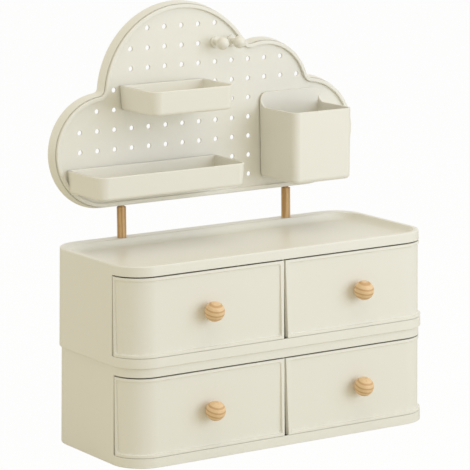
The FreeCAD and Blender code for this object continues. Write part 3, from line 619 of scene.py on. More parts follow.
@dataclass
class Cabinet(SubAssembly):
    """One tier: its shell with the drawer window, tray top and post tubes, and what is fixed inside it."""

    tier: str
    corner: float = CASE_CORNER
    draft: float = CASE_DRAFT
    wall: float = 2.0
    skirt_round: float = 0.6
    lip: float = 5.0
    back_lip: float = 16.0
    lip_round: float = 1.4
    lip_flat: float = 0.2
    recess_depth: float = 7.0
    recess_draft: float = 4.0
    recess_cove: float = 7.0
    recess_floor: float = 6.5
    # How much of the lip's round the recess's first row lies outside its mouth
    mouth_share: float = 0.85
    window_low: float = 9.8
    window_high: float = 90.2
    ceiling: float = 91.3
    post_across: float = POST_ACROSS
    post_inset: float = 11.8
    bore: float = 9.8
    bore_depth: float = 78.0
    bore_lead_in: float = 0.2
    tube: float = 14.0
    tube_foot: float = 3.0
    tube_round: float = 0.6
    broken_edge: float = 0.35

    def shell(self) -> Shape:
        """Shape the shell: both skins with the window between them, the lip, the recess and the tubes.

        Returns:
            The closed shell.
        """
        low, high = node_box(f"{self.tier}_case")
        width, depth, height = high - low
        middle = (low[1] + high[1]) / 2
        outside = rounded_rectangle(width, depth, self.corner, (0, middle))
        shape = Shape()

        def lean(level: float) -> float:
            """Give the outer wall's inset at a level."""
            return self.draft * level / height

        skins = rounded_profile(
            (self.wall + lean(self.ceiling), self.ceiling, 0),
            (self.wall + lean(self.window_high), self.window_high, 0),
            (self.wall + lean(self.window_low), self.window_low, 0),
            (self.wall, 0, self.skirt_round), (0, 0, self.skirt_round),
            (lean(self.window_low), self.window_low, 0),
            (lean(self.window_high), self.window_high, 0),
            (self.draft, height, self.lip_round),
            (self.draft + self.lip_round + self.lip_flat, height, 0))
        numbers = shape.add(carry(outside, skins) + [0, 0, low[2]])
        # The window's rows: the inner skin's second and third, and the last two below the lip's round
        inner_high, inner_low = 1, 2
        lip_rows = ROUND_STEPS + 2
        outer_high = len(skins) - lip_rows - 1
        outer_low = outer_high - 1
        kept = np.ones((numbers.shape[0] - 1, numbers.shape[1]), bool)
        # The window's columns: both front corners, which come first in the outline
        last = 2 * CORNER_STEPS + 1
        kept[[inner_high, outer_low], :last] = False
        shape.cover(numbers, kept=kept)
        for inner, outer in ((inner_low, outer_low), (inner_high, outer_high)):
            shape.cover(numbers[[inner, outer], :last + 1], closed=False)
        for column in (0, last):
            shape.cover(numbers[[[inner_high, inner_low], [outer_high, outer_low]], column], closed=False)

        mouth = rounded_rectangle(
            width - 2 * (self.draft + self.lip), depth - 2 * self.draft - self.lip - self.back_lip,
            self.corner - self.draft - self.lip, (0, middle + (self.lip - self.back_lip) / 2))
        floor_level = height - self.recess_depth
        recess = rounded_profile(
            (-self.mouth_share * self.lip_round, height, 0), (0, height, self.lip_round),
            (self.recess_draft, floor_level, self.recess_cove),
            (self.recess_draft + self.recess_floor, floor_level, 0))
        bowl = shape.add(carry(mouth, recess) + [0, 0, low[2]])
        shape.cover(bowl)
        shape.cap(bowl[-1])

        mouths, roots = [], []
        for hand in Hand:
            centre = (hand.value * self.post_across, high[1] - self.post_inset, low[2])
            bore = shape.add(turned(np.array([
                (self.bore / 2 + self.bore_lead_in, height), (self.bore / 2, height - self.bore_lead_in),
                (self.bore / 2, height - self.bore_depth)]), centre, Axis.UPRIGHT))
            shape.cover(bore)
            shape.cap(bore[-1])
            foot = height - self.bore_depth - self.tube_foot
            tube = shape.add(turned(np.array([
                (self.tube / 2, self.ceiling), (self.tube / 2, foot + self.tube_round),
                (self.tube / 2 - self.tube_round, foot)]), centre, Axis.UPRIGHT))
            shape.cover(tube)
            shape.cap(tube[-1])
            mouths.append(bore[0])
            roots.append(tube[0])
        shape.fill(numbers[-1], [bowl[0], *mouths], Axis.UPRIGHT)
        shape.fill(numbers[0], roots, Axis.UPRIGHT)
        return shape

    def build(self, outside: bpy.types.Material, inside: bpy.types.Material) -> None:
        """Put the tier down: its shell as a piece of its own, its floor plate and partition as they are.

        Args:
            outside: the shell's plastic.
            inside: the plastic of the plate and the partition.
        """
        self.put_down(f"{self.tier}_cabinet_shell", self.shell(), self.tier, f"{self.tier}_case", outside,
                      Slot.CABINET, self.broken_edge)
        for part in ("base_plate", "partition"):
            self.dress(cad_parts[f"{self.tier}_{part}"], inside, Slot.INNER)
            log.info("%s_%s dressed", self.tier, part)


@dataclass
class Drawer(SubAssembly):
    """A drawer: a front that wraps the cabinet's corner, its bin and its knob."""

    tier: str
    hand: Hand
    corner: float = CASE_CORNER
    draft: float = CASE_DRAFT
    gap_top: float = 0.75
    gap_bottom: float = 2.3
    field: float = 3.0
    edge_round: float = 0.6
    step_start: float = 2.6
    step_end: float = 3.5
    step_lines: int = 8
    field_corner: float = 5.4
    # The field's plain lines: their number, and how far they stay from the front's ends
    flat_columns: int = 8
    corner_columns: int = 18
    flat_rows: int = 5
    column_margin: float = 8.0
    row_margin: float = 12.0
    back_inset: float = 5.6
    # How far in front of the cabinet's middle the front's outer end lies, and how much that end leans
    side_end: float = 49.5
    end_lean: float = 2.0
    case_height: float = 100.5
    # The front stands this much higher than in the construction, for a thin gap above it
    top_rise: float = 0.25
    bin_inset: float = 5.0
    bin_side: float = 3.0
    bin_back: float = 58.0
    bin_height: float = 70.0
    bin_edge: float = 0.4
    rear_steps: int = 5
    wall: float = 1.8
    knob_neck: float = 4.0
    neck_flare: float = 0.5
    flare_height: float = 0.5
    flare_end: float = 1.1
    throat: float = 1.3
    ball_points: int = 26

    def __post_init__(self) -> None:
        """Read the cabinet's and the drawer's boxes."""
        self.stem = f"{self.tier}_{self.hand.name.lower()}"
        case_low, case_high = node_box(f"{self.tier}_case")
        low, high = node_box(f"{self.stem}_drawer")
        self.half_width = case_high[0]
        self.half_depth = (case_high[1] - case_low[1]) / 2
        self.middle = (case_low[1] + case_high[1]) / 2
        self.level = case_low[2]
        self.bottom, self.top = low[2], high[2] + self.top_rise

    def front_line(self, across: np.ndarray) -> Outline:
        """Walk the cabinet's front from the middle and round its corner.

        Up to the corner a point is straight ahead at its distance; from there on its angle is the distance
        past the corner over the corner's radius.

        Args:
            across: distances along the front from the middle.

        Returns:
            Points and outward directions, seen from above, on the right-hand side.
        """
        start = self.half_width - self.corner
        angle = np.clip((across - start) / self.corner, 0, None)
        direction = np.column_stack([np.sin(angle), -np.cos(angle)])
        centre_y = np.full(len(across), -self.half_depth + self.corner)
        centre = np.column_stack([np.minimum(across, start), centre_y])
        return Outline(centre + self.corner * direction, direction)

    def edge_steps(self) -> np.ndarray:
        """Give the distances from an edge at which the front's grid has a line.

        Returns:
            The lines of the edge round, of the step and of the field's corner, in that order.
        """
        rounding = self.edge_round * (1 - np.cos(np.linspace(0, math.pi / 2, ROUND_STEPS)))
        step = np.linspace(self.step_start, self.step_end, self.step_lines)
        return np.concatenate([rounding, step, [self.field_corner]])

    def front(self) -> Shape:
        """Shape the front: a sheet whose depth follows the distance to its edge, over a plain back.

        Within the edge round the depth grows as a quarter circle. Between the step's start and end it runs
        from the drafted border to the upright field on a curve that starts and ends level. The step's
        distance is measured with round corners.

        Returns:
            The closed front.
        """
        steps = self.edge_steps()
        straight_end = self.half_width - self.corner
        trim = self.corner * math.asin((self.side_end - self.half_depth + self.corner) / self.corner)
        far = straight_end + self.corner * math.pi / 2 - trim
        first_column = self.gap_bottom + self.field_corner + self.column_margin
        middle_columns = np.concatenate([
            np.linspace(first_column, straight_end, self.flat_columns),
            np.linspace(straight_end, far - self.field_corner, self.corner_columns)[1:-1]])
        across = np.concatenate([self.gap_bottom + steps, middle_columns, (far - steps)[::-1]])
        middle_rows = np.linspace(self.bottom + self.row_margin, self.top - self.row_margin, self.flat_rows)
        up = np.concatenate([self.bottom + steps, middle_rows, (self.top - steps)[::-1]])
        line = self.front_line(across)
        from_side = np.minimum(across - self.gap_bottom, far - across)[None, :]
        from_end = np.minimum(up - self.bottom, self.top - up)[:, None]
        near = np.minimum(from_side, from_end)
        reach = self.field_corner
        soft = reach - np.hypot(np.clip(reach - from_side, 0, None), np.clip(reach - from_end, 0, None))
        share = eased(np.clip((soft - self.step_start) / (self.step_end - self.step_start), 0, 1))
        lean = self.draft * (up[:, None] - self.level) / self.case_height
        inward = np.clip(self.edge_round - near, 0, None)
        fall = self.edge_round - np.sqrt(self.edge_round ** 2 - inward ** 2)
        depth = lean + (self.field - lean) * share + fall

        # The inner end leans: it is nearest to the middle at the top
        height_share = (up[:, None] - self.bottom) / (self.top - self.bottom)
        shift = (self.gap_top - self.gap_bottom) * height_share
        fade = np.clip((self.step_start - from_side) / (self.step_start - self.edge_round), 0, 1)
        fade = np.where(across[None, :] < self.half_width / 2, fade, 0)
        # The outer end leans too, so that its gap is widest at the foot
        end_fade = np.clip(1 - (far - across) / self.field_corner, 0, 1)[None, :]
        end_shift = self.end_lean * (0.5 - height_share) * end_fade
        shape = Shape()
        sheets = []
        for inset in (depth, np.full_like(depth, self.back_inset)):
            flat = line.points[None] - inset[..., None] * line.outward[None]
            x = (flat[..., 0] + shift * fade) * self.hand.value
            z = np.broadcast_to(up[:, None], x.shape)
            sheets.append(shape.add(np.stack([x, flat[..., 1] + self.middle - end_shift, z], axis=-1)))
        face, back = sheets
        for sheet in sheets:
            shape.cover(sheet, closed=False)
        for side in (0, -1):
            shape.cover(np.stack([face[side], back[side]]), closed=False)
            shape.cover(np.stack([face[:, side], back[:, side]]), closed=False)
        return shape

    def bin_line(self, thickness: float) -> np.ndarray:
        """Draw the bin's plan: along the cabinet's front and round its corners, back to the middle.

        Args:
            thickness: how far inside the bin's outer faces the line runs.

        Returns:
            Points seen from above, on the right-hand side.
        """
        inset = self.bin_inset + thickness
        side, back = self.bin_side + thickness, self.bin_back - thickness
        radius = self.corner - inset
        centre_x, centre_y = self.half_width - self.corner, self.half_depth - self.corner
        front = arc((centre_x, -centre_y), radius, -math.pi / 2, 0, CORNER_STEPS)
        rear = arc((centre_x, centre_y), radius, 0, math.asin((back - centre_y) / radius), self.rear_steps)
        return np.vstack([[(side, -self.half_depth + inset)], front.points, rear.points, [(side, back)]])

    def bin(self) -> Shape:
        """Shape the bin: outer walls, rim, inner walls, floor and underside.

        Returns:
            The closed bin.
        """
        rim = self.bottom + self.bin_height
        rows = ((0, self.bottom), (0, rim), (self.wall, rim), (self.wall, self.bottom + self.wall))
        grid = []
        for thickness, level in rows:
            line = self.bin_line(thickness)
            grid.append(np.column_stack([line[:, 0] * self.hand.value, line[:, 1] + self.middle,
                                         np.full(len(line), level)]))
        shape = Shape()
        shape.add_closed(np.stack(grid))
        return shape

    def knob(self) -> Shape:
        """Shape the knob: a ball on a neck that flares a little at the drawer, turned about its own axis.

        Returns:
            The closed knob.
        """
        low, high = node_box(f"{self.stem}_knob")
        ball, neck, throat = (high[0] - low[0]) / 2, self.knob_neck, self.throat
        seat, ball_place = high[1], low[1] + ball
        # The throat's arc touches the neck and the ball
        throat_place = ball_place + math.sqrt((ball + throat) ** 2 - (neck + throat) ** 2)
        meeting = math.atan2(neck + throat, throat_place - ball_place)
        throat_angle = np.linspace(-math.pi / 2, meeting - math.pi, ROUND_STEPS)
        throat_line = np.column_stack([neck + throat + throat * np.sin(throat_angle),
                                       throat_place + throat * np.cos(throat_angle)])
        ball_angle = np.linspace(meeting, math.pi, self.ball_points)[1:]
        ball_line = np.column_stack([ball * np.sin(ball_angle), ball_place + ball * np.cos(ball_angle)])
        flare = neck + self.neck_flare
        foot = np.array([(0, seat), (flare, seat), (flare, seat - self.flare_height),
                         (neck, seat - self.flare_end)])
        shape = Shape()
        shape.turn(np.vstack([foot, throat_line, ball_line]), depth_axis(f"{self.stem}_knob"), Axis.DEPTH)
        return shape

    def build(self, plastic: bpy.types.Material, wood: bpy.types.Material) -> None:
        """Put the drawer down with its knob.

        Args:
            plastic: the drawer's finish.
            wood: the knob's finish.
        """
        drawer = f"{self.stem}_drawer"
        self.put_down(f"{drawer}_front", self.front(), drawer, drawer, plastic, Slot.DRAWER)
        self.put_down(f"{drawer}_bin", self.bin(), drawer, drawer, plastic, Slot.DRAWER, self.bin_edge)
        self.put_down(f"{self.stem}_turned_knob", self.knob(), drawer, f"{self.stem}_knob", wood, Slot.WOOD)


# Board

@dataclass
class CloudBoard(SubAssembly):
    """The pegboard: its back frame, the panel of holes with its raised rim, and its posts."""

    low_across: float = 122.0
    low_radius: float = 59.0
    big_lobe: tuple[float, float, float] = (-31.0, 112.0, 93.0)
    mid_lobe: tuple[float, float, float] = (69.5, 103.5, 57.5)
    valley_round: float = 5.0
    fewest_steps: int = 4
    frame_draft: float = 2.3
    frame_wall: float = 5.0
    # Rounds of the frame's edges at the groove, at the front, at the back and inside at the back
    frame_rounds: tuple[float, float, float, float] = (0.1, 0.15, 0.9, 0.6)
    panel_inset: float = 3.1
    rim_width: float = 3.9
    rim_height: float = 3.0
    rim_foot_round: float = 0.3
    rim_crest_round: float = 0.7
    panel_thick: float = 2.0
    seam: float = 1.2
    seam_width: float = 0.5
    # How far inside its rim the panel's front face, and inside the frame its back face, has its last row
    field_row: float = 1.2
    back_row: float = 0.2
    pitch: float = 20.0
    columns: int = 16
    rows: int = 9
    first_row: float = 20.3
    margin: float = 12.0
    hole: float = 5.0
    # Rows of a hole's mouth and end: how much wider than the hole, and how far from the face
    hole_mouth: tuple[tuple[float, float], ...] = ((0.3, 0.0), (0.08, 0.1), (0.0, 0.35))
    hole_end: tuple[tuple[float, float], ...] = ((0.0, 0.2), (0.15, 0.0))
    hole_steps: int = 24
    lug: float = 12.0
    lug_edge: float = 9.5
    lug_depth: float = 6.0
    lug_front_round: float = 0.3
    lug_back_round: float = 0.4
    screw_hole: float = 3.6
    sink: float = 6.6
    sink_depth: float = 2.5
    sink_round: float = 0.2
    boss: float = 7.0
    # A boss starts this little inside the panel, and lugs and blocks end this far short of the frame's back
    hidden: float = 0.1
    back_gap: float = 0.03
    block_corner: float = 1.2
    block_steps: int = 4
    block_low: float = 2.5
    block_high: float = 20.5
    block_round: float = 0.8
    block_row: float = 2.0
    block_gap: float = 0.2
    post_across: float = POST_ACROSS
    post_end_round: float = 0.6
    shoulder_round: float = 0.3
    tenon: float = 6.0
    tenon_length: float = 16.0

    def __post_init__(self) -> None:
        """Read the board's place."""
        low, high = node_box("cloud_frame")
        self.bottom, self.front, self.back = low[2], low[1], high[1]

    def lobes(self) -> list[tuple[float, float, float]]:
        """List centre and radius of each lobe above the board's foot: left, right, mid and big."""
        low = self.low_radius
        return [(-self.low_across, low, low), (self.low_across, low, low), self.mid_lobe, self.big_lobe]

    def valley(self, first: tuple[float, float, float], second: tuple[float, float, float],
               side: int) -> np.ndarray:
        """Find the centre of the small circle that touches two lobes from outside.

        It is where circles about both lobes, grown by the valley's radius, cross.

        Args:
            first: the one lobe.
            second: the other lobe.
            side: which of the two crossings, 1 on the left of the way from the first to the second.

        Returns:
            The valley's centre.
        """
        start, end = np.array(first[:2]), np.array(second[:2])
        reach, other = first[2] + self.valley_round, second[2] + self.valley_round
        span = np.linalg.norm(end - start)
        along = (reach ** 2 - other ** 2 + span ** 2) / (2 * span)
        unit = (end - start) / span
        beside = side * math.sqrt(reach ** 2 - along ** 2)
        return start + along * unit + beside * np.array([-unit[1], unit[0]])

    def outline(self) -> Outline:
        """Draw the cloud: four lobes, the valleys between three pairs of them and the straight foot.

        Returns:
            The outline, with heights above the desk.
        """
        left, right, mid, big = self.lobes()
        valleys = [self.valley(right, mid, -1), self.valley(mid, big, -1), self.valley(big, left, -1)]

        def angle_to(start: tuple[float, ...], end: np.ndarray) -> float:
            """Give the direction from one centre to another as an angle."""
            return math.atan2(end[1] - start[1], end[0] - start[0])

        def piece(centre: tuple[float, ...], radius: float, start: float, end: float,
                  hollow: bool, closed: bool = False) -> Outline:
            """Draw one arc, clockwise in a valley and anticlockwise on a lobe.

            Args:
                centre: the arc's centre, above the board's foot.
                radius: its radius.
                start: the angle at its start.
                end: the angle at its end, to within a full turn.
                hollow: whether it is a valley.
                closed: whether the end point is part of it.

            Returns:
                The arc, in steps of about the outline's chord.
            """
            if hollow and end > start:
                end -= 2 * math.pi
            if not hollow and end < start:
                end += 2 * math.pi
            steps = max(self.fewest_steps, math.ceil(abs(end - start) * radius / OUTLINE_CHORD))
            return arc((centre[0], centre[1] + self.bottom), radius, start, end, steps, hollow, closed)

        parts = []
        start = -math.pi / 2
        for lobe, valley_place, following in zip((right, mid, big), valleys, (mid, big, left)):
            towards = angle_to(lobe, valley_place)
            parts.append(piece(lobe, lobe[2], start, towards, False))
            leave = angle_to(following, valley_place)
            parts.append(piece(tuple(valley_place), self.valley_round, towards + math.pi, leave + math.pi,
                               True))
            start = leave
        parts.append(piece(left, left[2], start, 3 * math.pi / 2, False, True))
        return joined(*parts)

    def hole_places(self) -> np.ndarray:
        """List the holes: points of the square grid that lie well inside a lobe or the foot between them.

        Returns:
            Distance from the middle and height above the desk of each hole.
        """
        across = (np.arange(self.columns) - (self.columns - 1) / 2) * self.pitch
        rise = self.first_row + self.pitch * np.arange(self.rows)
        x, z = (part.ravel() for part in np.meshgrid(across, rise))
        inside = np.max([radius - np.hypot(x - lobe_x, z - lobe_z)
                         for lobe_x, lobe_z, radius in self.lobes()], axis=0)
        between = np.minimum.reduce([self.low_across - abs(x), z, self.low_radius - z + self.pitch])
        kept = (inside >= self.margin) | (between >= self.margin)
        return np.column_stack([x[kept], z[kept] + self.bottom])

    def lug_places(self) -> list[tuple[float, float]]:
        """List the screws.

        Returns:
            Distance from the middle and height above the desk of each screw.
        """
        side = self.low_across + self.low_radius - self.lug_edge
        big_x, big_z, big_radius = self.big_lobe
        mid_x, mid_z, mid_radius = self.mid_lobe
        places = [(-side, self.low_radius), (side, self.low_radius), (0.0, self.lug_edge),
                  (big_x, big_z + big_radius - self.lug_edge),
                  (mid_x - self.pitch / 2, mid_z + mid_radius - self.lug_edge)]
        return [(x, z + self.bottom) for x, z in places]

    def frame_ring(self) -> Shape:
        """Shape the frame: a drafted ring round the cloud, with screw lugs and post blocks inside it.

        The ring's profile runs from the seam out over the groove and the front edge to the back, and inside
        again to the seam.

        Returns:
            The closed ring with its lugs and blocks.
        """
        middle = (self.frame_draft + self.frame_wall) / 2
        groove, step = self.panel_inset - self.seam_width, self.front + self.seam
        groove_round, front_round, back_round, inner_round = self.frame_rounds
        ring = rounded_profile((middle, step, 0), (groove, step, 0), (groove, self.front, groove_round),
                               (self.frame_draft, self.front, front_round), (0, self.back, back_round),
                               (self.frame_wall, self.back, inner_round), (self.frame_wall, step, 0),
                               (middle, step, 0))
        shape = Shape()
        shape.cover(shape.add(carry(self.outline(), ring, Axis.DEPTH)))
        back, sunk = self.back - self.back_gap, self.back - self.sink_depth
        lug_front, hole, sink = self.front + self.lug_depth, self.screw_hole / 2, self.sink / 2
        lug = rounded_profile((hole, lug_front, 0), (self.lug / 2, lug_front, self.lug_front_round),
                              (self.lug / 2, back, self.lug_back_round), (sink, back, self.sink_round),
                              (sink, sunk, 0), (hole, sunk, 0), (hole, lug_front, 0))
        for x, z in self.lug_places():
            shape.turn(lug, (x, 0, z), Axis.DEPTH)
        front, block_top = self.front + self.panel_thick + self.block_gap, self.bottom + self.block_high
        rise = rounded_profile((0, self.bottom + self.block_low, 0), (0, block_top, self.block_round),
                               (self.block_row, block_top, 0))
        for hand in Hand:
            block = rounded_rectangle(2 * self.tenon, back - front, self.block_corner,
                                      (hand.value * self.post_across, (front + back) / 2), self.block_steps)
            shape.add_closed(carry(block, rise))
        return shape

    def panel(self) -> Shape:
        """Shape the panel: rim, field and back face with all the holes through it, and the screw bosses.

        Returns:
            The closed panel.
        """
        outline = self.outline()
        field = self.panel_inset + self.rim_width
        crest, plate_back = self.front - self.rim_height, self.front + self.panel_thick
        back_inset = self.frame_wall + self.back_row
        rim = rounded_profile(
            (field + self.field_row, self.front, 0), (field, self.front, self.rim_foot_round),
            (field, crest, self.rim_crest_round), (self.panel_inset, crest, self.rim_crest_round),
            (self.panel_inset, self.front + self.seam, 0), (back_inset, self.front + self.seam, 0),
            (back_inset, plate_back, 0))
        shape = Shape()
        edge = shape.add(carry(outline, rim, Axis.DEPTH))
        shape.cover(edge)
        radius = self.hole / 2
        wall = np.array([(radius + wider, self.front + deep) for wider, deep in self.hole_mouth]
                        + [(radius + wider, plate_back - deep) for wider, deep in self.hole_end])
        tube = turned(wall, (0, 0, 0), Axis.DEPTH, self.hole_steps)
        places = self.hole_places()
        offsets = np.column_stack([places[:, 0], np.zeros(len(places)), places[:, 1]])
        holes = shape.add(tube[None] + offsets[:, None, None, :])
        shape.cover(holes)
        shape.fill(edge[0], list(holes[:, 0]), Axis.DEPTH)
        shape.fill(edge[-1], list(holes[:, -1]), Axis.DEPTH)
        root, end = plate_back - self.hidden, self.front + self.lug_depth
        boss = rounded_profile((0, root, 0), (self.boss / 2, root, 0),
                               (self.boss / 2, end, self.lug_front_round), (0, end, 0))
        for x, z in self.lug_places():
            shape.turn(boss, (x, 0, z), Axis.DEPTH)
        return shape

    def post(self, hand: Hand) -> Shape:
        """Shape a post: a round bar with broken ends and a tenon.

        Args:
            hand: which post.

        Returns:
            The closed post.
        """
        low, high = node_box(f"{hand.name.lower()}_post")
        radius = (high[0] - low[0]) / 2
        shoulder = high[2] - self.tenon_length
        centre = ((low[0] + high[0]) / 2, (low[1] + high[1]) / 2, 0)
        shape = Shape()
        shape.turn(rounded_profile(
            (0, low[2], 0), (radius, low[2], self.post_end_round), (radius, shoulder, self.shoulder_round),
            (self.tenon / 2, shoulder, 0), (self.tenon / 2, high[2], self.post_end_round), (0, high[2], 0)),
            centre, Axis.UPRIGHT)
        return shape

    def build(self, plastic: bpy.types.Material, wood: bpy.types.Material) -> None:
        """Put the board down with its posts.

        Args:
            plastic: the finish of frame and panel.
            wood: the posts' finish.
        """
        self.put_down("cloud_frame_ring", self.frame_ring(), "board", "cloud_frame", plastic, Slot.BOARD)
        self.put_down("cloud_panel", self.panel(), "board", "pegboard_panel", plastic, Slot.BOARD)
        for hand in Hand:
            name = f"{hand.name.lower()}_post"
            self.put_down(f"{name}_bar", self.post(hand), "board", name, wood, Slot.WOOD)


# What hangs on the board

@dataclass
class HungPiece(SubAssembly):
    """What trays and cup share: their box, the peg collars and pegs behind them."""

    node: str
    peg_columns: tuple[float, ...]
    peg_rows: tuple[float, ...]
    collar: float = 8.0
    collar_root: float = 1.5
    collar_round: float = 0.4
    contact_gap: float = CONTACT_GAP
    board: float = BOARD_FACE
    peg: float = PEG
    # How far the pegs reach past the board's front
    peg_reach: float = 5.0
    peg_round: float = 1.2
    standoff: float = 1.2
    wall: float = 2.0
    thickness: float = 2.0
    floor_round: float = 2.5
    floor_row: float = 3.5
    foot_row: float = 1.0

    def __post_init__(self) -> None:
        """Read the piece's place; its back face stands off from the board."""
        low, high = node_box(self.node)
        self.back = self.board - self.standoff
        self.low, self.high = low, high
        self.centre = (low[0] + high[0]) / 2
        self.width = high[0] - low[0]

    def add_pegs(self, shape: Shape) -> None:
        """Add each collar and peg, turned about the hole's axis, with a round tip.

        Args:
            shape: the shape that takes them in.
        """
        root, face = self.back - self.collar_root, self.board - self.contact_gap
        tip = self.board + self.peg_reach
        line = rounded_profile((0, root, 0), (self.collar / 2, root, 0),
                               (self.collar / 2, face, self.collar_round), (self.peg / 2, face, 0),
                               (self.peg / 2, tip, self.peg_round), (0, tip, 0))
        for rise in self.peg_rows:
            for across in self.peg_columns:
                shape.turn(line, (across, 0, rise), Axis.DEPTH)


@dataclass
class Tray(HungPiece):
    """A shallow tray with round front corners, square at the board, with soft edges."""

    corner: float = 12.0
    draft: float = 2.0
    foot_round: float = 3.5
    rim_round: float = 0.8
    broken_edge: float = 0.5

    def outline(self, back_share: float) -> Outline:
        """Draw the tray's plan: two round corners in front, two square ones at the board.

        Args:
            back_share: how much of a profile's inset the back takes, from none to one.

        Returns:
            The closed outline.
        """
        across, front, half = self.width / 2 - self.corner, self.low[1] + self.corner, self.width / 2
        middle = self.centre
        left = arc((middle - across, front), self.corner, math.pi, 1.5 * math.pi, CORNER_STEPS)
        right = arc((middle + across, front), self.corner, 1.5 * math.pi, 2 * math.pi, CORNER_STEPS)
        back = Outline(np.array([[middle + half, self.back], [middle - half, self.back]]),
                       np.array([[1.0, back_share], [-1.0, back_share]]))
        return joined(left, right, back)

    def tray(self) -> Shape:
        """Shape the tray: one profile from the underside to the rim, and one from there to the floor.

        Outside, the back stays upright on the board; inside it follows the profile as the sides do.

        Returns:
            The closed tray with its pegs.
        """
        bottom, rim = self.low[2], self.high[2]
        floor = bottom + self.thickness
        inner_foot = self.wall + self.draft * (1 - self.thickness / (rim - bottom))
        crest = (self.wall / 2, rim, 0)
        outside = rounded_profile((self.draft + self.foot_round + self.foot_row, bottom, 0),
                                  (self.draft, bottom, self.foot_round), (0, rim, self.rim_round), crest)
        inside = rounded_profile(
            crest, (self.wall, rim, self.rim_round), (inner_foot, floor, self.floor_round),
            (inner_foot + self.floor_row, floor, 0))
        skins = [carry(self.outline(0.0), outside), carry(self.outline(1.0), inside)]
        shape = Shape()
        shape.add_closed(np.concatenate(skins))
        self.add_pegs(shape)
        return shape

    def build(self, plastic: bpy.types.Material) -> None:
        """Put the tray down in its plastic."""
        self.put_down(f"{self.node}_body", self.tray(), self.node, self.node, plastic, Slot.TRAY,
                      self.broken_edge)


@dataclass
class PenCup(HungPiece):
    """The pen cup: a deep bin whose sides sweep up to a tall back plate with round corners."""

    corner: float = 9.0
    draft: float = 1.2
    foot_round: float = 4.5
    front_drop: float = 15.0
    scoop: float = 8.0
    plate_round: float = 8.5
    # Up to this height the walls are plain rows; above it every column ends at a level of its own
    even_height: float = 60.0
    column_steps: int = 9
    corner_steps: int = 10
    broken_edge: float = 0.4

    def half_line(self) -> tuple[Outline, np.ndarray]:
        """Walk the right half from the front to the back, with a doubled point where the plate starts.

        The plate's columns lean inwards more the nearer they are to its side, so that they stay in order
        when they are drawn in, and its back stays upright on the board.

        Returns:
            The half outline and whether each of its points belongs to the plate.
        """
        half, radius, count = self.width / 2, self.plate_round, self.column_steps
        plate_front = self.back - self.wall
        quarter = np.linspace(0, math.pi / 2, count)
        front = arc((half - self.corner, self.low[1] + self.corner), self.corner, -math.pi / 2, 0,
                    self.corner_steps)
        depth_places = plate_front - self.scoop * (1 - np.sin(quarter))
        side = Outline(np.column_stack([np.full(count, half), depth_places]), np.tile([1.0, 0.0], (count, 1)))
        share = np.cos(quarter)
        plate = Outline(np.column_stack([half - radius + radius * share, np.full(count, self.back)]),
                        np.column_stack([share, np.zeros(count)]))
        return joined(front, side, plate), np.repeat([False, True], [len(front.points) + count, count])

    def cup(self) -> Shape:
        """Shape the cup: rows from the foot up its outside, over the rim and down to the floor.

        The rim's height follows the distance to the back: level, then a quarter circle up to the plate. The
        plate's top follows the distance from its middle: level, then a quarter circle down. Inside, the
        plate's columns keep within the side walls.

        Returns:
            The closed cup with its pegs.
        """
        half_outline, half_plate = self.half_line()
        line = joined(half_outline, half_outline.mirrored())
        on_plate = np.concatenate([half_plate, half_plate[::-1]])
        bottom, top = self.low[2], self.high[2]
        height, half, radius = top - bottom, self.width / 2, self.plate_round
        plate_front = self.back - self.wall
        rim_end = top - radius
        ledge = top - self.front_drop + self.scoop

        def lean(level: np.ndarray | float) -> np.ndarray | float:
            """Give the walls' inset at a level."""
            return self.draft * (1 - (level - bottom) / height)

        run = np.clip(line.points[:, 1] - (plate_front - self.scoop), 0, self.scoop)
        low_top = np.minimum(ledge - np.sqrt(self.scoop ** 2 - run ** 2), rim_end)
        beyond = np.clip(abs(line.points[:, 0]) - (half - radius), 0, radius)
        plate_top = rim_end + np.sqrt(radius ** 2 - beyond ** 2)

        # The inner skin: within the side walls, and in front of the plate
        reach = half - self.wall
        inner_points = line.drawn_in(self.wall)
        inner_points[on_plate] = line.points[on_plate]
        inner_points = np.column_stack([np.clip(inner_points[:, 0], -reach, reach),
                                        np.minimum(inner_points[:, 1], plate_front)])
        inward, inner_x = line.outward.copy(), inner_points[:, 0]
        share = np.clip((abs(inner_x) - (reach - radius)) / radius, 0, 1) * np.sign(inner_x)
        inward[on_plate, 0] = share[on_plate]
        inner_line = Outline(inner_points, inward)

        def wall_row(skin: Outline, level: np.ndarray) -> np.ndarray:
            """Give each column's point of a skin at its own level."""
            return np.column_stack([skin.points - lean(level)[:, None] * skin.outward, level])

        outer_low = wall_row(line, np.where(on_plate, rim_end, low_top))
        outer_top = wall_row(line, np.where(on_plate, plate_top, low_top))
        inner_top = wall_row(inner_line, np.where(on_plate, rim_end, low_top))
        # The rim's middle row lies halfway between the skins, but on the outer one where the plate starts
        at_step = (np.roll(on_plate, -1) != on_plate) | (np.roll(on_plate, 1) != on_plate)
        share = np.where(at_step, 0.0, 0.5)[:, None]
        rim = outer_top * (1 - share) + inner_top * share
        plate_face = outer_top.copy()
        plate_face[:, 1] = plate_front
        face = np.where(on_plate[:, None], plate_face, rim)

        even = bottom + self.even_height
        floor = bottom + self.thickness
        outside = rounded_profile((self.draft + self.foot_round + self.foot_row, bottom, 0),
                                  (self.draft, bottom, self.foot_round), (lean(even), even, 0))
        inside = rounded_profile((lean(even), even, 0), (lean(floor), floor, self.floor_round),
                                 (lean(floor) + self.floor_row, floor, 0))
        rim_rows = np.stack([outer_low, outer_top, face, inner_top])
        rows = [carry(line, outside), rim_rows, carry(inner_line, inside)]
        shape = Shape()
        shape.add_closed(np.concatenate(rows) + [self.centre, 0, 0])
        self.add_pegs(shape)
        return shape

    def build(self, plastic: bpy.types.Material) -> None:
        """Put the cup down in its plastic."""
        self.put_down("pen_cup_body", self.cup(), self.node, self.node, plastic, Slot.TRAY, self.broken_edge)


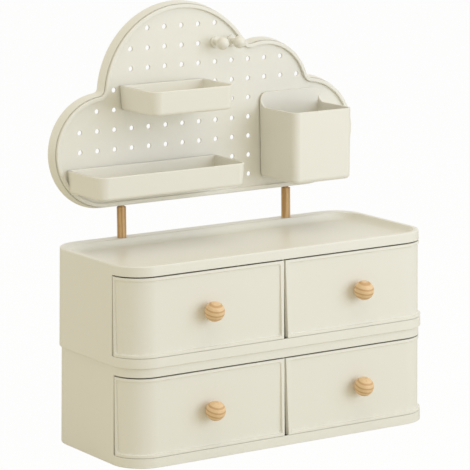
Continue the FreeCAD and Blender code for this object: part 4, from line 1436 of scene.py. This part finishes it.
@dataclass
class PegHook(SubAssembly):
    """A peg hook: a flange on the board, a short neck and a round head."""

    node: str
    flange_thick: float = 2.0
    flange_inset: float = 0.5
    neck: float = 3.0
    peg: float = PEG
    board: float = BOARD_FACE
    contact_gap: float = CONTACT_GAP
    # Rounds where the neck meets the flange, at the flange's front and back edge, and at the peg's tip
    rounds: tuple[float, float, float, float] = (0.8, 0.7, 0.2, 1.2)
    ball_points: int = 24

    def hook(self) -> Shape:
        """Shape the hook: one profile turned about the hole's axis.

        Returns:
            The closed hook.
        """
        low, high = node_box(self.node)
        head = (high[0] - low[0]) / 2
        flange, head_place = head - self.flange_inset, low[1] + head
        meeting = math.asin(self.neck / head)
        angle = np.linspace(math.pi, meeting, self.ball_points)
        ball = np.column_stack([head * np.sin(angle), head_place + head * np.cos(angle)])
        face, back = self.board - self.flange_thick, self.board - self.contact_gap
        neck_round, front_round, back_round, tip_round = self.rounds
        stem = rounded_profile(
            (self.neck, head_place + head * math.cos(meeting), 0), (self.neck, face, neck_round),
            (flange, face, front_round), (flange, back, back_round), (self.peg / 2, back, 0),
            (self.peg / 2, high[1], tip_round), (0, high[1], 0))
        shape = Shape()
        shape.turn(np.vstack([ball, stem]), depth_axis(self.node), Axis.DEPTH)
        return shape

    def build(self, plastic: bpy.types.Material) -> None:
        """Put the hook down in its plastic."""
        self.put_down(f"{self.node}_peg", self.hook(), self.node, self.node, plastic, Slot.TRAY)


# Screws

@dataclass
class CrossScrews(SubAssembly):
    """Pan-head screws with a cross recess, all with their heads to the back."""

    node: str
    body: str
    places: list[tuple[float, float]]
    head: float
    head_thick: float
    shank: float
    cross_width: float = 0.9
    cross_reach: float = 1.8
    cross_depth: float = 0.9
    cross_fade: float = 0.1
    dome_share: float = 0.45
    tip: float = 1.0
    steps: int = 96
    cross_rings: int = 22
    rim_rings: int = 8

    def screws(self) -> Shape:
        """Shape the screws: head tops on polar grids, with the rest turned.

        A head's top is a shallow dome, which falls with the cube of the distance from its middle, less a
        cross: the recess is full depth where a point is within half the cross's width of one axis and
        within its reach along the other, and fades over a narrow band.

        Returns:
            The closed screws.
        """
        low, high = node_box(self.node)
        radius, top = self.head / 2, high[1]
        angle = np.linspace(0, 2 * math.pi, self.steps, endpoint=False)
        cross_end = self.cross_reach + 3 * self.cross_fade
        rings = np.concatenate([np.linspace(0, cross_end, self.cross_rings),
                                np.linspace(cross_end + self.cross_fade, radius, self.rim_rings)])
        side, rise = rings[:, None] * np.cos(angle), rings[:, None] * np.sin(angle)
        dome_height = self.head_thick * self.dome_share
        dome = top - dome_height * (rings[:, None] / radius) ** 3 * np.ones_like(side)

        def arm(across: np.ndarray, along: np.ndarray) -> np.ndarray:
            """Give the share of the recess in one bar of the cross."""
            beside = np.clip((self.cross_width / 2 - abs(across)) / self.cross_fade, 0, 1)
            return beside * np.clip((self.cross_reach - abs(along)) / self.cross_fade, 0, 1)

        cross = self.cross_depth * np.maximum(arm(side, rise), arm(rise, side))
        shape = Shape()
        seat = top - self.head_thick
        under = np.array([(radius, top - dome_height), (radius, seat), (self.shank / 2, seat),
                          (self.shank / 2, low[1] + self.tip), (0, low[1])])
        lower = turned(under, (0, 0, 0), Axis.DEPTH, self.steps)
        whole = np.concatenate([np.stack([side, dome - cross, rise], axis=-1), lower])
        for x, z in self.places:
            shape.cover(shape.add(whole + [x, 0, z]))
        return shape

    def build(self, steel: bpy.types.Material) -> None:
        """Put the screws down in their steel."""
        self.put_down(f"{self.node}_cross_head", self.screws(), self.body, self.node, steel, Slot.STEEL)


# The studio

@dataclass(frozen=True)
class Lamp:
    """A square soft lamp that points at the middle of the object."""

    name: str
    place: tuple[float, float, float]
    side: float
    watts: float
    colour: str
    aim_height: float = 200.0

    def hang(self) -> None:
        """Hang the lamp where its place says."""
        data = bpy.data.lights.new(self.name, "AREA")
        data.energy = self.watts
        data.size = self.side * MM
        data.color = linear(self.colour)[:3]
        lamp = bpy.data.objects.new(self.name, data)
        lamp.location = Vector(self.place) * MM
        aim = Vector((0, 0, self.aim_height * MM)) - lamp.location
        lamp.rotation_euler = aim.to_track_quat("-Z", "Y").to_euler()
        bpy.context.scene.collection.objects.link(lamp)


@dataclass(frozen=True)
class Studio:
    """Camera, pale floor and soft lights."""

    focal_px: float = 2815.885
    image_px: float = 470.0
    sensor: float = 36.0
    azimuth: float = -0.568949
    elevation: float = 0.184942
    roll: float = -0.008510
    eye: tuple[float, float, float] = (-1516.97, -2350.79, 727.05)
    nearest: float = 50.0
    farthest: float = 50000.0
    floor_size: float = 9000.0
    floor_colour: str = "#DEDAC9"
    # How much of the floor's white the camera sees; the rest is paper that shows the shadow
    glow_share: float = 0.97
    white: str = "#FFFFFF"
    ambient: float = 0.605
    ambient_colour: str = "#FFFAEA"
    lamps: tuple[Lamp, ...] = (
        Lamp("key_lamp", place=(1260, -2080, 740), side=1900, watts=32.6, colour="#E3EDFF"),
        Lamp("side_lamp", place=(-2030, 560, 700), side=1100, watts=5.6, colour="#FFFBF0"),
        Lamp("top_lamp", place=(-100, -560, 2300), side=1900, watts=11.5, colour="#FFF9E6"))

    def camera(self) -> None:
        """Set up the camera: it looks at the object from the left and a little above."""
        back = Vector((math.sin(self.azimuth) * math.cos(self.elevation),
                       -math.cos(self.azimuth) * math.cos(self.elevation), math.sin(self.elevation)))
        right = (-back).cross(Vector((0, 0, 1))).normalized()
        up = right.cross(-back)
        turned_right = math.cos(self.roll) * right + math.sin(self.roll) * up
        turned_up = math.cos(self.roll) * up - math.sin(self.roll) * right
        data = bpy.data.cameras.new("camera")
        data.sensor_width = self.sensor
        data.lens = self.focal_px * self.sensor / self.image_px
        data.clip_start = self.nearest * MM
        data.clip_end = self.farthest * MM
        camera = bpy.data.objects.new("camera", data)
        turn = Matrix((turned_right, turned_up, back)).transposed().to_4x4()
        camera.matrix_world = Matrix.Translation(Vector(self.eye) * MM) @ turn
        bpy.context.scene.collection.objects.link(camera)
        bpy.context.scene.camera = camera

    def world(self) -> None:
        """Light everything evenly and show white to camera, glossy and transmission rays."""
        world = bpy.data.worlds.new("studio_world")
        bpy.context.scene.world = world
        world.use_nodes = True
        tree = world.node_tree
        tree.nodes.clear()
        path = add_node(tree, "LightPath")
        seen = add_node(tree, "Math", operation="MAXIMUM",
                        links={0: path.outputs["Is Camera Ray"], 1: path.outputs["Is Glossy Ray"]})
        through = add_node(tree, "Math", operation="MAXIMUM",
                           links={0: seen.outputs[0], 1: path.outputs["Is Transmission Ray"]})
        soft = add_node(tree, "Background", {"Color": linear(self.ambient_colour), "Strength": self.ambient})
        white = add_node(tree, "Background", {"Color": linear(self.white), "Strength": 1.0})
        mixed = add_node(tree, "MixShader",
                         links={0: through.outputs[0], 1: soft.outputs[0], 2: white.outputs[0]})
        add_node(tree, "OutputWorld", links={"Surface": mixed.outputs[0]})

    def floor(self) -> None:
        """Lay a white floor that keeps a soft shadow under the object."""
        half = self.floor_size / 2 * MM
        mesh = bpy.data.meshes.new("floor")
        corners = [(-half, -half, 0), (half, -half, 0), (half, half, 0), (-half, half, 0)]
        mesh.from_pydata(corners, [], [(0, 1, 2, 3)])
        floor = bpy.data.objects.new("floor", mesh)
        bpy.context.scene.collection.objects.link(floor)
        material = new_material("white_paper_floor")
        tree = material.node_tree
        path = add_node(tree, "LightPath")
        paper = add_node(tree, "BsdfDiffuse", {"Color": linear(self.floor_colour)})
        glow = add_node(tree, "Emission", {"Color": linear(self.white), "Strength": 1.0})
        shown = add_node(tree, "Math", {1: self.glow_share}, {0: path.outputs["Is Camera Ray"]},
                         operation="MULTIPLY")
        mixed = add_node(tree, "MixShader",
                         links={0: shown.outputs[0], 1: paper.outputs[0], 2: glow.outputs[0]})
        add_node(tree, "OutputMaterial", links={"Surface": mixed.outputs[0]})
        mesh.materials.append(material)

    def build(self) -> None:
        """Set up the whole studio."""
        bpy.context.scene.view_settings.view_transform = "Standard"
        self.camera()
        self.world()
        self.floor()
        for lamp in self.lamps:
            lamp.hang()
        log.info("studio ready")


def main() -> None:
    """Build every sub-assembly in order."""
    logging.basicConfig(level=logging.INFO, format="%(message)s")
    Studio().build()

    cream = {"colour": "#E9E7DE", "shade": "#E8E5DA"}
    cabinet_plastic = MouldedPlastic("satin_moulded_abs_cabinet", **cream, roughness=0.38).material()
    inner_plastic = MouldedPlastic("matt_moulded_abs_inside", colour="#E7E3D2", shade="#E5E0CD",
                                   roughness=0.52).material()
    drawer_plastic = MouldedPlastic("satin_moulded_abs_drawers", **cream, roughness=0.42).material()
    board_plastic = MouldedPlastic("satin_moulded_abs_board", **cream, roughness=0.40).material()
    tray_plastic = MouldedPlastic("satin_moulded_abs_trays", colour="#EBE8DF", shade="#E9E6DB",
                                  roughness=0.36).material()
    knob_wood = TurnedBeech("turned_oiled_beech_knobs", grain_axis="X", pith=(0.0, 40.0, -300.0),
                            light="#E9C99D", dark="#BC8955", fleck="#C0925F", ring_spacing=4.4, ring_warp=3.2,
                            late_from=0.5, late_share=0.6).material()
    post_wood = TurnedBeech("turned_oiled_beech_posts", grain_axis="Z", pith=(18.0, 30.0, 0.0),
                            light="#D8B381", dark="#B48955", fleck="#AC8050", ring_spacing=3.4).material()
    zinc = ZincSteel("zinc_plated_steel").material()

    for tier in ("lower", "upper"):
        Cabinet(tier).build(cabinet_plastic, inner_plastic)
        for hand in Hand:
            drawer = Drawer(tier, hand)
            drawer.build(drawer_plastic, knob_wood)
            screw = f"{drawer.stem}_knob_screw"
            CrossScrews(screw, f"{drawer.stem}_drawer", [depth_axis(screw)[::2]], head=7.5, head_thick=2.4,
                        shank=3.5).build(zinc)
    board = CloudBoard()
    board.build(board_plastic, post_wood)
    CrossScrews("board_screws", "board", board.lug_places(), head=6.0, head_thick=2.0, shank=3.0).build(zinc)
    Tray("small_tray", peg_columns=(-90.0, -30.0), peg_rows=(352.0,)).build(tray_plastic)
    Tray("long_tray", peg_columns=(-150.0, -10.0), peg_rows=(272.0,)).build(tray_plastic)
    PenCup("pen_cup", peg_columns=(90.0, 110.0), peg_rows=(272.0, 332.0)).build(tray_plastic)
    for hand in Hand:
        PegHook(f"{hand.name.lower()}_hook").build(tray_plastic)


if __name__ == "__main__":
    main()
